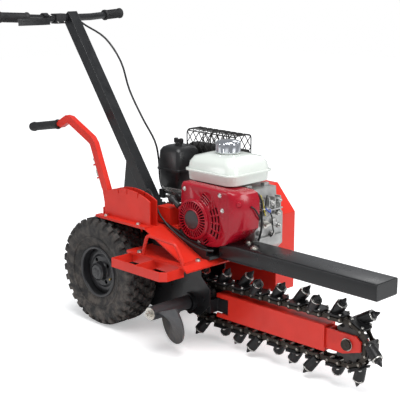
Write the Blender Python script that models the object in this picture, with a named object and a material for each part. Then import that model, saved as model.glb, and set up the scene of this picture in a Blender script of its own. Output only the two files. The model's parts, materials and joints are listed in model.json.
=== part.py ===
"""A walk-behind mini trencher: a two-wheeled frame with a petrol engine, a digging chain on a boom
under a box-section guard, a spoil auger beside the chain, a depth lever in a notched quadrant and a
T handlebar on a leaning stem.

Metres, +Z up. While it is modelled, X runs forward from the wheel axle to the digging end, Y is 0 on
the boom's centre plane (minus Y is the side with the wheel, auger and tool tray in front), and Z is 0
on the ground. At the end the whole machine is moved so that the middle of its bounding box's bottom
face is the origin.
"""

from math import acos, atan2, cos, degrees, hypot, pi, radians, sin, sqrt, tan

import bmesh
import bpy
from mathutils import Matrix, Vector

MM = 0.001

# Clearances
GAP = 0.3 * MM
RUNNING_GAP = 3 * MM
SIDE_GAP = 1 * MM

# Wheels
WHEEL_RADIUS = 186 * MM
TYRE_WIDTH = 127 * MM
TYRE_INNER_Y = 61 * MM
RIM_RADIUS = 88 * MM
AXLE_RADIUS = 12 * MM
AXLE_END_Y = 170 * MM

# Frame
FRAME_HALF_WIDTH = 56 * MM
PLATE = 4 * MM
FRAME_REAR_X = 150 * MM
FRAME_FRONT_X = 418 * MM
FRAME_BOTTOM_Z = 65 * MM
DECK_Z = 299 * MM
DECK_REAR_X = 165 * MM
DECK_FRONT_X = 428 * MM
DECK_NEAR_Y = -186 * MM
DECK_FAR_Y = 169.7 * MM
DECK_THICK = 8.7 * MM
TONGUE_REAR_X = 140 * MM
TONGUE_HALF_WIDTH = 30 * MM
SHELF_Z = 374 * MM
SHELF_THICK = 4 * MM
SHELF_REAR_X = -20 * MM
SHELF_FRONT_X = 232 * MM
SHELF_INNER_FRONT_X = 160 * MM
SLOPE_FRONT_X = 408 * MM
SHELF_NEAR_Y = -165 * MM
RAIL_NEAR_Y = -80 * MM

# Digging gear
DRIVE_X = 330 * MM
DRIVE_Z = 134 * MM
DRIVE_PITCH_RADIUS = 60 * MM
NOSE_X = 934 * MM
NOSE_Z = 142 * MM
NOSE_PITCH_RADIUS = 66 * MM
NOSE_PIN_RADIUS = 10 * MM
TOOTH_REACH = 69 * MM
TOOTH_LEAN = 30 * MM
TOOTH_SPREAD = 28 * MM
TOOTH_COUNT = 21
TOOTH_PHASE = 0.3
CHAIN_HALF_HEIGHT = 9 * MM
CHAIN_INNER_Y = 13 * MM
CHAIN_OUTER_Y = 21 * MM
SPROCKET_HALF_WIDTH = 12.5 * MM
SHAFT_RADIUS = 15 * MM
BOOM_HALF_WIDTH = 26 * MM
BOOM_HEIGHT = 80 * MM
BOOM_REAR_X = 400 * MM
BOOM_STEP_X = 856 * MM
NOSE_TIP_X = 982 * MM
NOSE_PIECE_HEIGHT = 62 * MM
BOOM_WALL = 6 * MM

# Spoil auger
AUGER_RADIUS = 118 * MM
AUGER_NEAR_Y = -232 * MM
AUGER_FAR_Y = -74 * MM
AUGER_THICK = 6 * MM
AUGER_HUB_RADIUS = 23 * MM

# Chain guard
GUARD_REAR_X = 450 * MM
GUARD_FRONT_X = 1048 * MM
GUARD_WIDTH = 100 * MM
GUARD_HEIGHT = 50 * MM
GUARD_BOTTOM_Z = 304 * MM
GUARD_WALL = 5 * MM

# Engine
CRANK_X = 361 * MM
CRANK_Z = 417 * MM
ENGINE_NEAR_Y = -70 * MM
ENGINE_BASE_Z = 311 * MM
TANK_REAR_X = 261 * MM
TANK_FRONT_X = 484 * MM
TANK_NEAR_Y = -30 * MM
TANK_FAR_Y = 175 * MM
TANK_BOTTOM_Z = 524 * MM
SHROUD_FAR_Y = 28 * MM
STARTER_PORT = Vector((284 * MM, -61 * MM, 442 * MM))
STARTER_PULL = Vector((-0.866, 0, 0.5))
OIL_PLUG_Y = 66 * MM
OIL_PLUG_Z = 408 * MM
FUEL_CAP_X = 370 * MM
FUEL_CAP_Y = 73 * MM
NECK_RADIUS = 25 * MM
NECK_TOP_Z = 630 * MM
MUFFLER_REAR_X = 66 * MM
MUFFLER_FRONT_X = 300 * MM
MUFFLER_NEAR_Y = 184 * MM
MUFFLER_FAR_Y = 257 * MM

# Depth lever and quadrant
LEVER_PIVOT_X = 121 * MM
LEVER_PIVOT_Z = 230 * MM
QUADRANT_RADIUS = 257 * MM
QUADRANT_NEAR_Y = -143 * MM
QUADRANT_FAR_Y = -114 * MM
LEVER_Y = -128 * MM
LEVER_LEG_Y = -40 * MM
LEVER_TUBE_X = 19 * MM
LEVER_TUBE_Z = 393 * MM
LEVER_TUBE_RADIUS = 10 * MM
LEVER_PIN_RADIUS = 10 * MM
LEVER_GRIP_END = Vector((-412 * MM, LEVER_Y, 632 * MM))
LATCH_OFFSET = -22 * MM
LEVER_TRAVEL = 48
NOTCH_ANGLES = (100.3, 90.0, 77.6)

# Wheel swing frame
SWING_X = 110 * MM
SWING_Z = 130 * MM
SWING_PIN_RADIUS = 12 * MM
HORN_REACH = 68 * MM
LINK_X = 146 * MM
LINK_Z = 185 * MM
LINK_PIN_RADIUS = 5 * MM
LINK_EYE_RADIUS = LINK_PIN_RADIUS + 2 * MM
LINK_EYE_WALL = 6 * MM
LINK_SLOT_LIFT = 9 * MM

# Handlebar
STEM_SIZE = 40 * MM
STEM_FOOT_X = 196 * MM
STEM_FOOT_Z = 300 * MM
STEM_TOP_X = -312 * MM
STEM_TOP_Z = 1016 * MM
STEM_ABOVE_BAR = 30 * MM
BAR_X = -340 * MM
BAR_Z = 1018 * MM
BAR_RADIUS = 12.5 * MM
BAR_NEAR_Y = -286 * MM
BAR_FAR_Y = 244 * MM
SQUEEZE_PIVOT_X = -308 * MM
SQUEEZE_PIVOT_Y = -112 * MM

# Belt drive
PULLEY_Y = 215 * MM
BELT_WIDTH = 13 * MM
BELT_THICK = 8 * MM
ENGINE_PULLEY_RADIUS = 28 * MM
DRIVEN_PULLEY_RADIUS = 36 * MM
CRANKSHAFT_RADIUS = 12 * MM


# ---------------------------------------------------------------- shapes

def prism(outline, start, end, axis="Y"):
    """An outline drawn across an axis and pushed out along it."""
    order = {"X": (2, 0, 1), "Y": (0, 2, 1), "Z": (0, 1, 2)}[axis]
    count = len(outline)
    points = []
    for along in (start, end):
        for first, second in outline:
            flat = (first, second, along)
            points.append(Vector(flat[place] for place in order))
    faces = [tuple(range(count)), tuple(range(2 * count - 1, count - 1, -1))]
    for here in range(count):
        there = (here + 1) % count
        faces.append((here, there, count + there, count + here))
    return points, faces


def box(x, y, z):
    """A block between three pairs of coordinates."""
    corners = [(x[0], z[0]), (x[1], z[0]), (x[1], z[1]), (x[0], z[1])]
    return prism(corners, y[0], y[1])


def turned(profile, centre, axis="Y", steps=48):
    """A closed profile of (radius, distance along the axis) points turned about the axis."""
    order = {"X": (2, 0, 1), "Y": (0, 2, 1), "Z": (0, 1, 2)}[axis]
    points = []
    rings = []
    for radius, along in profile:
        ring = []
        for step in range(steps if radius > 0 else 1):
            angle = 2 * pi * step / steps
            flat = (radius * cos(angle), radius * sin(angle), along)
            ring.append(len(points))
            points.append(Vector(centre) + Vector(flat[place] for place in order))
        rings.append(ring)
    faces = []
    for here, ring in enumerate(rings):
        other = rings[(here + 1) % len(rings)]
        for step in range(steps):
            corners = [ring[step % len(ring)], ring[(step + 1) % len(ring)],
                       other[(step + 1) % len(other)], other[step % len(other)]]
            face = list(dict.fromkeys(corners))
            if len(face) > 2:
                faces.append(tuple(face))
    return points, faces


def disc(centre, radius, start, end, axis="Y", steps=14):
    """A plain cylinder along an axis, from start to end along it."""
    return turned([(0, start), (radius, start), (radius, end), (0, end)], centre, axis, steps)


def hole(centre, radius, start, end, axis="Y"):
    """The cutter of a round hole that a pin of this radius turns in."""
    return disc(centre, radius + GAP, start, end, axis, 26)


def swept(path, radii, sides=12):
    """A round (or few-sided) bar along a path, with one radius or one for each point."""
    path = [Vector(point) for point in path]
    if not hasattr(radii, "__len__"):
        radii = [radii] * len(path)
    points = []
    normal = None
    for here, point in enumerate(path):
        ahead = path[min(here + 1, len(path) - 1)] - point
        behind = point - path[max(here - 1, 0)]
        along = (ahead.normalized() + behind.normalized()).normalized()
        if normal is None:
            normal = along.orthogonal().normalized()
            if abs(along.y) < 0.9:
                normal = (Vector((0, 1, 0)) - along * along.y).normalized()
        normal = (normal - along * normal.dot(along)).normalized()
        side = along.cross(normal)
        turn = ahead.normalized().dot(behind.normalized()) if 0 < here < len(path) - 1 else 1.0
        stretch = 1 / sqrt(max((1 + turn) / 2, 0.3))
        bend = (ahead.normalized() - behind.normalized()) if turn < 0.9999 else None
        for step in range(sides):
            angle = 2 * pi * step / sides
            offset = (normal * cos(angle) + side * sin(angle)) * radii[here]
            if bend is not None:
                out = bend.normalized()
                offset += out * offset.dot(out) * (stretch - 1)
            points.append(point + offset)
    count = len(path)
    faces = [tuple(range(sides)), tuple(range(count * sides - 1, (count - 1) * sides - 1, -1))]
    for here in range(count - 1):
        for step in range(sides):
            a = here * sides + step
            b = here * sides + (step + 1) % sides
            faces.append((a, b, b + sides, a + sides))
    return points, faces


def bent(corners, radius, steps=5):
    """A polyline whose corners are rounded to a bend radius."""
    corners = [Vector(corner) for corner in corners]
    path = [corners[0]]
    for before, corner, after in zip(corners, corners[1:], corners[2:]):
        towards = (before - corner).normalized()
        away = (after - corner).normalized()
        reach = min(radius / tan(acos(max(-1, min(1, towards.dot(away)))) / 2),
                    0.48 * (before - corner).length, 0.48 * (after - corner).length)
        start = corner + towards * reach
        end = corner + away * reach
        for step in range(steps + 1):
            share = step / steps
            path.append(start.lerp(corner, share).lerp(corner.lerp(end, share), share))
    path.append(corners[-1])
    return path


def smooth_route(corners, steps=6):
    """A Catmull-Rom curve through a cable's route points."""
    corners = [Vector(corner) for corner in corners]
    padded = [corners[0] * 2 - corners[1], *corners, corners[-1] * 2 - corners[-2]]
    path = []
    for a, b, c, d in zip(padded, padded[1:], padded[2:], padded[3:]):
        for step in range(steps):
            t = step / steps
            path.append(0.5 * (2 * b + (c - a) * t + (2 * a - 5 * b + 4 * c - d) * t ** 2
                               + (3 * b - a - 3 * c + d) * t ** 3))
    path.append(corners[-1])
    return path


def arc(centre, radius, start, end, steps):
    """Points on an arc in degrees, ends included."""
    points = []
    for step in range(steps + 1):
        angle = radians(start + (end - start) * step / steps)
        points.append((centre[0] + radius * cos(angle), centre[1] + radius * sin(angle)))
    return points


def rounded(x, z, radius, steps=4):
    """A rectangle between two pairs of coordinates with rounded corners."""
    outline = []
    for corner_x, corner_z, start in ((x[1], z[1], 0), (x[0], z[1], 90), (x[0], z[0], 180),
                                      (x[1], z[0], 270)):
        centre = (corner_x - radius if start in (0, 270) else corner_x + radius,
                  corner_z - radius if start in (0, 90) else corner_z + radius)
        outline += arc(centre, radius, start, start + 90, steps)
    return outline


def turned_about_y(shape, pivot, angle):
    """A copy of a shape turned about a Y axis through (x, z); plus lifts +X."""
    points, faces = shape
    turn = Matrix.Rotation(-angle, 3, "Y")
    centre = Vector((pivot[0], 0, pivot[1]))
    return [turn @ (point - centre) + centre for point in points], faces


# ---------------------------------------------------------------- objects

def clear_scene():
    for old in list(bpy.data.objects):
        bpy.data.objects.remove(old, do_unlink=True)


def mesh_object(name, shape, pivot):
    points, faces = shape
    mesh = bpy.data.meshes.new(name)
    mesh.from_pydata([point - pivot for point in points], [], faces)
    work = bmesh.new()
    work.from_mesh(mesh)
    bmesh.ops.recalc_face_normals(work, faces=work.faces)
    work.to_mesh(mesh)
    work.free()
    thing = bpy.data.objects.new(name, mesh)
    thing.location = pivot
    thing.parent = MACHINE
    return thing


def helpers(name, shapes, pivot):
    """Shapes that a Boolean joins or cuts, in a hidden collection of their own."""
    group = bpy.data.collections.new(name)
    group.hide_render = True
    bpy.context.scene.collection.children.link(group)
    for number, shape in enumerate(shapes):
        helper = mesh_object(f"{name}_{number}", shape, pivot)
        helper.hide_render = True
        helper.display_type = "WIRE"
        group.objects.link(helper)
    return group


def solid(name, look, shapes, cuts=(), pivot=(0, 0, 0), sharp=35):
    """One sub-part: its shapes joined, then cut, with its origin on its pivot."""
    pivot = Vector(pivot)
    thing = mesh_object(name, shapes[0], pivot)
    bpy.context.scene.collection.objects.link(thing)
    thing.data.materials.append(look)
    for suffix, others, operation in (("joined", shapes[1:], "UNION"), ("cut", cuts, "DIFFERENCE")):
        if others:
            modifier = thing.modifiers.new(suffix, "BOOLEAN")
            modifier.operation = operation
            modifier.operand_type = "COLLECTION"
            modifier.collection = helpers(f"{name}_{suffix}", others, pivot)
            modifier.solver = "EXACT"
    thing.data.shade_smooth()
    thing.data.set_sharp_from_angle(angle=radians(sharp))
    return thing


def cable(name, look, path, radius, resolution=2):
    """A cable as a curve with a round bevel."""
    curve = bpy.data.curves.new(name, "CURVE")
    curve.dimensions = "3D"
    curve.bevel_depth = radius
    curve.bevel_resolution = resolution
    curve.use_fill_caps = True
    spline = curve.splines.new("POLY")
    spline.points.add(len(path) - 1)
    for point, place in zip(spline.points, path):
        point.co = (*place, 1)
    thing = bpy.data.objects.new(name, curve)
    thing.parent = MACHINE
    bpy.context.scene.collection.objects.link(thing)
    curve.materials.append(look)
    return thing


def paint(name, colour, roughness, metallic=0.0):
    look = bpy.data.materials.new(name)
    look.use_nodes = True
    shader = look.node_tree.nodes["Principled BSDF"]
    shader.inputs["Base Color"].default_value = (*colour, 1)
    shader.inputs["Roughness"].default_value = roughness
    shader.inputs["Metallic"].default_value = metallic
    return look


clear_scene()
MACHINE = bpy.data.objects.new("machine_origin", None)
bpy.context.scene.collection.objects.link(MACHINE)

RED = paint("red_paint", (0.68, 0.027, 0.018), 0.32)
ENGINE_RED = paint("engine_red_paint", (0.43, 0.01, 0.024), 0.25)
BLACK = paint("black_paint", (0.012, 0.012, 0.013), 0.38)
DARK = paint("dark_steel", (0.055, 0.06, 0.068), 0.5, 0.6)
RUBBER = paint("tyre_rubber", (0.018, 0.018, 0.018), 0.85)
GRIP = paint("grip_rubber", (0.01, 0.01, 0.01), 0.7)
PLASTIC = paint("black_plastic", (0.014, 0.014, 0.015), 0.5)
WHITE = paint("white_paint", (0.76, 0.79, 0.74), 0.28)
ZINC = paint("zinc", (0.75, 0.75, 0.72), 0.3, 1.0)
CHROME = paint("chrome", (0.85, 0.86, 0.88), 0.08, 1.0)
ALLOY = paint("cast_alloy", (0.52, 0.52, 0.5), 0.48, 1.0)
BELT = paint("belt_rubber", (0.02, 0.02, 0.02), 0.8)


# ---------------------------------------------------------------- frame

def chassis_frame():
    """Two side plates with the drive shaft between them, a rear cross plate and the boom's mounting bar."""
    plate_top = DECK_Z - DECK_THICK - GAP
    rear = 95 * MM
    riser_front = 158 * MM
    outline = [(rear, 105 * MM), (FRAME_REAR_X, FRAME_BOTTOM_Z), (262 * MM, FRAME_BOTTOM_Z), (288 * MM, 95 * MM),
               (372 * MM, 95 * MM), (FRAME_FRONT_X, 140 * MM), (FRAME_FRONT_X, 193 * MM), (378 * MM, 229 * MM),
               (378 * MM, plate_top), (rear, plate_top)]
    shelf_foot = SHELF_Z - GAP
    near_outline = outline[:-1] + [(riser_front, plate_top), (riser_front, shelf_foot), (rear, shelf_foot)]
    inner = FRAME_HALF_WIDTH - PLATE
    bearings = [disc((DRIVE_X, 0, DRIVE_Z), 30 * MM, side * inner, side * (FRAME_HALF_WIDTH + 15 * MM))
                for side in (-1, 1)]
    near = prism(near_outline, -FRAME_HALF_WIDTH, -inner)
    far = prism(outline, inner, FRAME_HALF_WIDTH)
    lap = 1 * MM
    rear_plate = box((172 * MM, 178 * MM), (-inner - lap, inner + lap), (110 * MM, plate_top))
    front_block = box((402 * MM, FRAME_FRONT_X), (-inner - lap, inner + lap), (112 * MM, 156 * MM))
    side = BOOM_HALF_WIDTH - BOOM_WALL - GAP
    mount_bar = box((410 * MM, 600 * MM), (-side, side), (112 * MM, 156 * MM))
    bar = turned_about_y(mount_bar, (FRAME_FRONT_X, 134 * MM), boom_slope())
    holes = [hole((x, 0, z), radius, -2 * FRAME_HALF_WIDTH, 2 * FRAME_HALF_WIDTH)
             for x, z, radius in ((DRIVE_X, DRIVE_Z, SHAFT_RADIUS), (SWING_X, SWING_Z, SWING_PIN_RADIUS),
                                  (LEVER_PIVOT_X, LEVER_PIVOT_Z, LEVER_PIN_RADIUS))]
    return solid("chassis_frame", BLACK, [near, far, rear_plate, front_block, bar, *bearings], holes)


def deck_plate():
    """The flat deck with a tongue under the stem and a lip folded down along its front edge."""
    flat = prism([(DECK_REAR_X, DECK_NEAR_Y), (DECK_FRONT_X, DECK_NEAR_Y), (DECK_FRONT_X, DECK_FAR_Y),
                  (DECK_REAR_X, DECK_FAR_Y), (DECK_REAR_X, TONGUE_HALF_WIDTH), (TONGUE_REAR_X, TONGUE_HALF_WIDTH),
                  (TONGUE_REAR_X, -TONGUE_HALF_WIDTH), (DECK_REAR_X, -TONGUE_HALF_WIDTH)],
                 DECK_Z - DECK_THICK, DECK_Z, "Z")
    lip_reach = 20 * MM
    lip_drop = 14 * MM
    lip_sheet = 5 * MM
    lip = prism([(DECK_FRONT_X - lip_sheet, DECK_Z), (DECK_FRONT_X, DECK_Z),
                 (DECK_FRONT_X + lip_reach, DECK_Z - lip_drop),
                 (DECK_FRONT_X + lip_reach - 2 * MM, DECK_Z - lip_drop - lip_sheet),
                 (DECK_FRONT_X - lip_sheet, DECK_Z - lip_sheet)], DECK_NEAR_Y, DECK_FAR_Y)
    return solid("deck_plate", RED, [flat, lip])


def fender_plate():
    """The sheet that carries the quadrant over the wheel and slopes down onto the deck."""
    top = SHELF_Z + SHELF_THICK
    inner = -FRAME_HALF_WIDTH + PLATE
    edge = RAIL_NEAR_Y - GAP
    shelf = prism([(SHELF_REAR_X, SHELF_NEAR_Y), (SHELF_FRONT_X, SHELF_NEAR_Y), (SHELF_FRONT_X, edge),
                   (SHELF_INNER_FRONT_X, edge), (SHELF_INNER_FRONT_X, inner), (SHELF_REAR_X, inner)],
                  SHELF_Z, top, "Z")
    foot_z = DECK_Z + GAP
    bend = SHELF_FRONT_X - SHELF_THICK
    slope = prism([(bend, top), (bend, SHELF_Z), (SHELF_FRONT_X, SHELF_Z), (SLOPE_FRONT_X - 12 * MM, foot_z),
                   (SLOPE_FRONT_X, foot_z), (SHELF_FRONT_X, top)], SHELF_NEAR_Y, edge)
    return solid("fender_plate", RED, [shelf, slope])


def engine_bed():
    """The plate between the deck and the engine, with an upright rail along the sloping sheet."""
    base = box((176 * MM, 440 * MM), (RAIL_NEAR_Y, 166 * MM), (DECK_Z + GAP, ENGINE_BASE_Z - GAP))
    foot = DECK_Z + GAP
    rail = prism([(176 * MM, foot), (424 * MM, foot), (424 * MM, 336 * MM), (236 * MM, 384 * MM), (176 * MM, 372 * MM)],
                 RAIL_NEAR_Y, RAIL_NEAR_Y + 6 * MM)
    tongue = box((430 * MM, 620 * MM), (-40 * MM, 40 * MM), (foot, GUARD_BOTTOM_Z - GAP))
    stem_slot = box((100 * MM, 214 * MM), (-24 * MM, 24 * MM), (DECK_Z - 5 * MM, ENGINE_BASE_Z + 5 * MM))
    cover_room = disc((CRANK_X, 0, CRANK_Z), 69 * MM, RAIL_NEAR_Y - 5 * MM, RAIL_NEAR_Y + 15 * MM, steps=32)
    return solid("engine_bed", BLACK, [base, rail, tongue], [stem_slot, cover_room])


def lever_mount_box():
    """The small box beside the stem, bolted down by its front flange."""
    near, far = RAIL_NEAR_Y + 7 * MM, -26 * MM
    body = box((192 * MM, 250 * MM), (near, far), (ENGINE_BASE_Z, 432 * MM))
    flange = box((245 * MM, 291 * MM), (near, far), (368 * MM, 374 * MM))
    bolt = turned([(0, 370 * MM), (7 * MM, 370 * MM), (7 * MM, 380 * MM), (0, 380 * MM)],
                  (277 * MM, near + 9 * MM, 0), "Z", 6)
    return solid("lever_mount_box", RED, [body, flange, bolt])


def tool_tray():
    """A flat-bar frame with two openings, hung under the deck's near edge."""
    rear, front, near, far = 176 * MM, 418 * MM, -259 * MM, -170 * MM
    low, high = 260 * MM, DECK_Z - DECK_THICK - GAP
    chamfer = 18 * MM
    cross_x = 290 * MM
    outline = [(rear, near), (front - chamfer, near), (front, near + chamfer), (front, far), (rear, far)]
    openings = [prism([(rear + PLATE, near + PLATE), (cross_x - PLATE / 2, near + PLATE),
                       (cross_x - PLATE / 2, far - PLATE), (rear + PLATE, far - PLATE)], low - PLATE, high + PLATE, "Z"),
                prism([(cross_x + PLATE / 2, near + PLATE), (front - chamfer - PLATE / 2, near + PLATE),
                       (front - PLATE, near + chamfer + PLATE / 2), (front - PLATE, far - PLATE),
                       (cross_x + PLATE / 2, far - PLATE)], low - PLATE, high + PLATE, "Z")]
    return solid("tool_tray", RED, [prism(outline, low, high, "Z")], openings)


def lifting_hoop():
    """A bent round bar standing on the deck's near edge."""
    radius = 6 * MM
    y = -179 * MM
    foot = DECK_Z + GAP
    upright = foot + 14 * MM
    path = bent([(242 * MM, y, foot), (242 * MM, y, upright), (259 * MM, y, 366 * MM), (390 * MM, y, 360 * MM),
                 (420 * MM, y, upright), (420 * MM, y, foot)], 22 * MM, 4)
    return solid("lifting_hoop", RED, [swept(path, radius, 10)], sharp=50)


def bolt(name, place, head=8 * MM, height=7 * MM, axis="Z", washer=13 * MM, side=1):
    """A hexagon head on its washer."""
    x, y, z = place
    sheet = 2 * MM
    profile = [(0, 0), (washer, 0), (washer, side * sheet), (head, side * sheet), (head, side * height), (0, side * height)]
    return solid(name, ZINC, [turned(profile, (x, y, z), axis, 12)])


def deck_bolts():
    for number, (x, y) in enumerate(((418 * MM, -110 * MM), (218 * MM, -176 * MM)), 1):
        bolt(f"deck_bolt_{number}", (x, y, DECK_Z + GAP), washer=9 * MM)


def quadrant_outline(rear, front, low_z, notch_half=2.2 * MM, notch_deep=17 * MM):
    """The toothed arc from rear to front and the straight edges below it."""
    centre = (LEVER_PIVOT_X, LEVER_PIVOT_Z)
    start = degrees(acos((rear - centre[0]) / QUADRANT_RADIUS))
    end = degrees(acos((front - centre[0]) / QUADRANT_RADIUS))
    half = degrees(notch_half / QUADRANT_RADIUS)
    outline = []
    at = start
    for notch in NOTCH_ANGLES:
        outline += arc(centre, QUADRANT_RADIUS, at, notch + half, 3)
        outline += arc(centre, QUADRANT_RADIUS - notch_deep, notch + half, notch - half, 1)
        at = notch - half
    outline += arc(centre, QUADRANT_RADIUS, at, end, 5)
    return outline + [(front, low_z), (rear, low_z)]


def quadrants():
    """The two notched plates; the far one stands on legs so that the lever's cross tube passes under it."""
    sheet = 4 * MM
    rear, front = 4 * MM, SHELF_FRONT_X
    foot = SHELF_Z + SHELF_THICK + GAP
    near = prism(quadrant_outline(rear, front, foot), QUADRANT_NEAR_Y, QUADRANT_NEAR_Y + sheet)
    flange = box((-18 * MM, SHELF_FRONT_X), (SHELF_NEAR_Y, QUADRANT_NEAR_Y + sheet), (foot, foot + sheet))
    solid("quadrant_near", RED, [near, flange])
    far = prism(quadrant_outline(rear - 10 * MM, front, foot), QUADRANT_FAR_Y, QUADRANT_FAR_Y + sheet)
    strap = box((rear - 14 * MM, rear - 8 * MM), (QUADRANT_NEAR_Y + sheet + GAP, QUADRANT_FAR_Y + sheet), (foot, foot + 26 * MM))
    pivot = (LEVER_PIVOT_X, LEVER_PIVOT_Z)
    reach = hypot(LEVER_TUBE_X - LEVER_PIVOT_X, LEVER_TUBE_Z - LEVER_PIVOT_Z)
    rest = degrees(atan2(LEVER_TUBE_Z - LEVER_PIVOT_Z, LEVER_TUBE_X - LEVER_PIVOT_X))
    half = LEVER_TUBE_RADIUS + RUNNING_GAP
    ends = degrees(half / reach)
    first, last = rest + ends, rest - LEVER_TRAVEL - ends
    slot = arc(pivot, reach + half, first, last, 12) + arc(pivot, reach - half, last, first, 12)
    passage = prism(slot, QUADRANT_FAR_Y - sheet, QUADRANT_FAR_Y + 2 * sheet)
    solid("quadrant_far", RED, [far, strap], [passage])
    for number, x in enumerate((25 * MM, 187 * MM), 1):
        bolt(f"quadrant_bolt_{number}", (x, QUADRANT_NEAR_Y - 11 * MM, foot + sheet + GAP), 6 * MM, 6 * MM, washer=8 * MM)


def chain_guard():
    """The closed black box section over the digging chain, bolted to the frame by two bolts on top."""
    half = GUARD_WIDTH / 2
    tube = prism(rounded((-half, half), (GUARD_BOTTOM_Z, GUARD_BOTTOM_Z + GUARD_HEIGHT), 5 * MM, 3),
                 GUARD_REAR_X, GUARD_FRONT_X, "X")
    inside = half - GUARD_WALL
    hollow = box((GUARD_REAR_X - 5 * MM, GUARD_FRONT_X - GUARD_WALL), (-inside, inside),
                 (GUARD_BOTTOM_Z + GUARD_WALL, GUARD_BOTTOM_Z + GUARD_HEIGHT - GUARD_WALL))
    solid("chain_guard", BLACK, [tube], [hollow])
    top = GUARD_BOTTOM_Z + GUARD_HEIGHT + GAP
    bolt("guard_bolt_1", (516 * MM, 13 * MM, top))
    bolt("guard_bolt_2", (575 * MM, -23 * MM, top))


def belt_cover():
    """The closed red cover over the belt drive on the far side."""
    near, far = 170 * MM, 261 * MM
    skin = 3 * MM
    outline = [(300 * MM, 495 * MM), (262 * MM, 440 * MM), (262 * MM, 140 * MM), (296 * MM, 84 * MM),
               (372 * MM, 84 * MM), (410 * MM, 149 * MM), (497 * MM, 149 * MM), (497 * MM, 409 * MM), (420 * MM, 495 * MM)]
    middle = (380 * MM, 290 * MM)
    inner = [(x + (skin if x < middle[0] else -skin), z + (skin if z < middle[1] else -skin)) for x, z in outline]
    hollow = prism(inner, near + skin, far - skin)
    crank = disc((CRANK_X, 0, CRANK_Z), 30 * MM, near - skin, near + 2 * skin)
    shaft = disc((DRIVE_X, 0, DRIVE_Z), 20 * MM, near - skin, near + 2 * skin)
    return solid("belt_cover", RED, [prism(outline, near, far)], [hollow, crank, shaft])


# ---------------------------------------------------------------- stem and handlebar

def stem():
    """The leaning square tube with a gusset plate behind its foot."""
    along = Vector((STEM_TOP_X - STEM_FOOT_X, 0, STEM_TOP_Z - STEM_FOOT_Z)).normalized()
    back = Vector((-along.z, 0, along.x)) * STEM_SIZE
    front_top = Vector((STEM_TOP_X, 0, STEM_TOP_Z)) + along * STEM_ABOVE_BAR
    rear_top = front_top + back
    foot = DECK_Z + GAP
    front_foot = STEM_FOOT_X
    rear_foot = front_foot - STEM_SIZE / along.z
    half = STEM_SIZE / 2
    tube = prism([(front_foot, foot), (front_top.x, front_top.z), (rear_top.x, rear_top.z), (rear_foot, foot)],
                 -half, half)
    gusset = prism([(rear_foot + 10 * MM, foot), (-30 * MM, 565 * MM), (-44 * MM, 552 * MM), (-62 * MM, 430 * MM),
                    (rear_foot - 20 * MM, foot + 30 * MM), (rear_foot - 8 * MM, foot)], -3 * MM, 3 * MM)
    bore = disc((BAR_X, 0, BAR_Z), BAR_RADIUS + GAP, -half - 1 * MM, half + 1 * MM)
    wall = 3 * MM
    inset = back.normalized() * wall
    low = Vector((front_foot, 0, foot)) + inset - along * 60 * MM
    high = front_top + inset - along * 60 * MM
    far = back.normalized() * (STEM_SIZE - 2 * wall)
    hollow = prism([(low.x, low.z), (high.x, high.z), (high.x + far.x, high.z + far.z), (low.x + far.x, low.z + far.z)],
                   -half + wall, half - wall)
    return solid("stem", BLACK, [tube, gusset], [bore, hollow])


def bar_point(y):
    """The handlebar's centre line: straight in the middle, swept a little up and back at both ends."""
    reach = max(0, abs(y) - 90 * MM)
    return Vector((BAR_X - 0.12 * reach, y, BAR_Z + 0.05 * reach))


def handlebar():
    places = [BAR_NEAR_Y + 3 * MM, -180 * MM, -120 * MM, -90 * MM, -60 * MM, 60 * MM, 90 * MM, 120 * MM, 180 * MM,
              BAR_FAR_Y - 3 * MM]
    return solid("handlebar", BLACK, [swept([bar_point(y) for y in places], BAR_RADIUS, 14)], sharp=50)


def hand_grip(name, inner, outer):
    """A rubber grip with a bulged end, closed over the end of the bar."""
    share = [(0.0, 17.5), (0.03, 19.5), (0.08, 19.5), (0.12, 16.5), (0.9, 16.5), (0.94, 19), (0.99, 19), (1.0, 17)]
    path = [bar_point(inner + (outer - inner) * place) for place, radius in share]
    shape = swept(path, [radius * MM for place, radius in share], 16)
    end = outer - (2 * MM if outer > inner else -2 * MM)
    hollow = swept([bar_point(inner * 2 - outer), bar_point(inner), bar_point((inner + end) / 2), bar_point(end)],
                   BAR_RADIUS + GAP, 14)
    return solid(name, GRIP, [shape], [hollow], sharp=50)


def lever_clamp():
    """The clamp on the bar that carries the squeeze lever's pivot in two ears."""
    y = SQUEEZE_PIVOT_Y
    centre = bar_point(y)
    ring = disc((centre.x, y, centre.z), 19 * MM, -9 * MM, 9 * MM)
    arm = box((centre.x + 12 * MM, SQUEEZE_PIVOT_X + 9 * MM), (y - 9 * MM, y + 9 * MM), (centre.z - 9 * MM, centre.z + 9 * MM))
    mouth = box((SQUEEZE_PIVOT_X - 11 * MM, SQUEEZE_PIVOT_X + 20 * MM), (y - 20 * MM, y + 20 * MM),
                (centre.z - 4.3 * MM, centre.z + 4.3 * MM))
    bore = swept([bar_point(y - 20 * MM), bar_point(y + 20 * MM)], BAR_RADIUS + GAP, 24)
    pin_hole = disc((SQUEEZE_PIVOT_X, SQUEEZE_PIVOT_Y, centre.z), 3.3 * MM, -20 * MM, 20 * MM, "Z", 12)
    return solid("lever_clamp", BLACK, [ring, arm], [mouth, bore, pin_hole])


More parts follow.
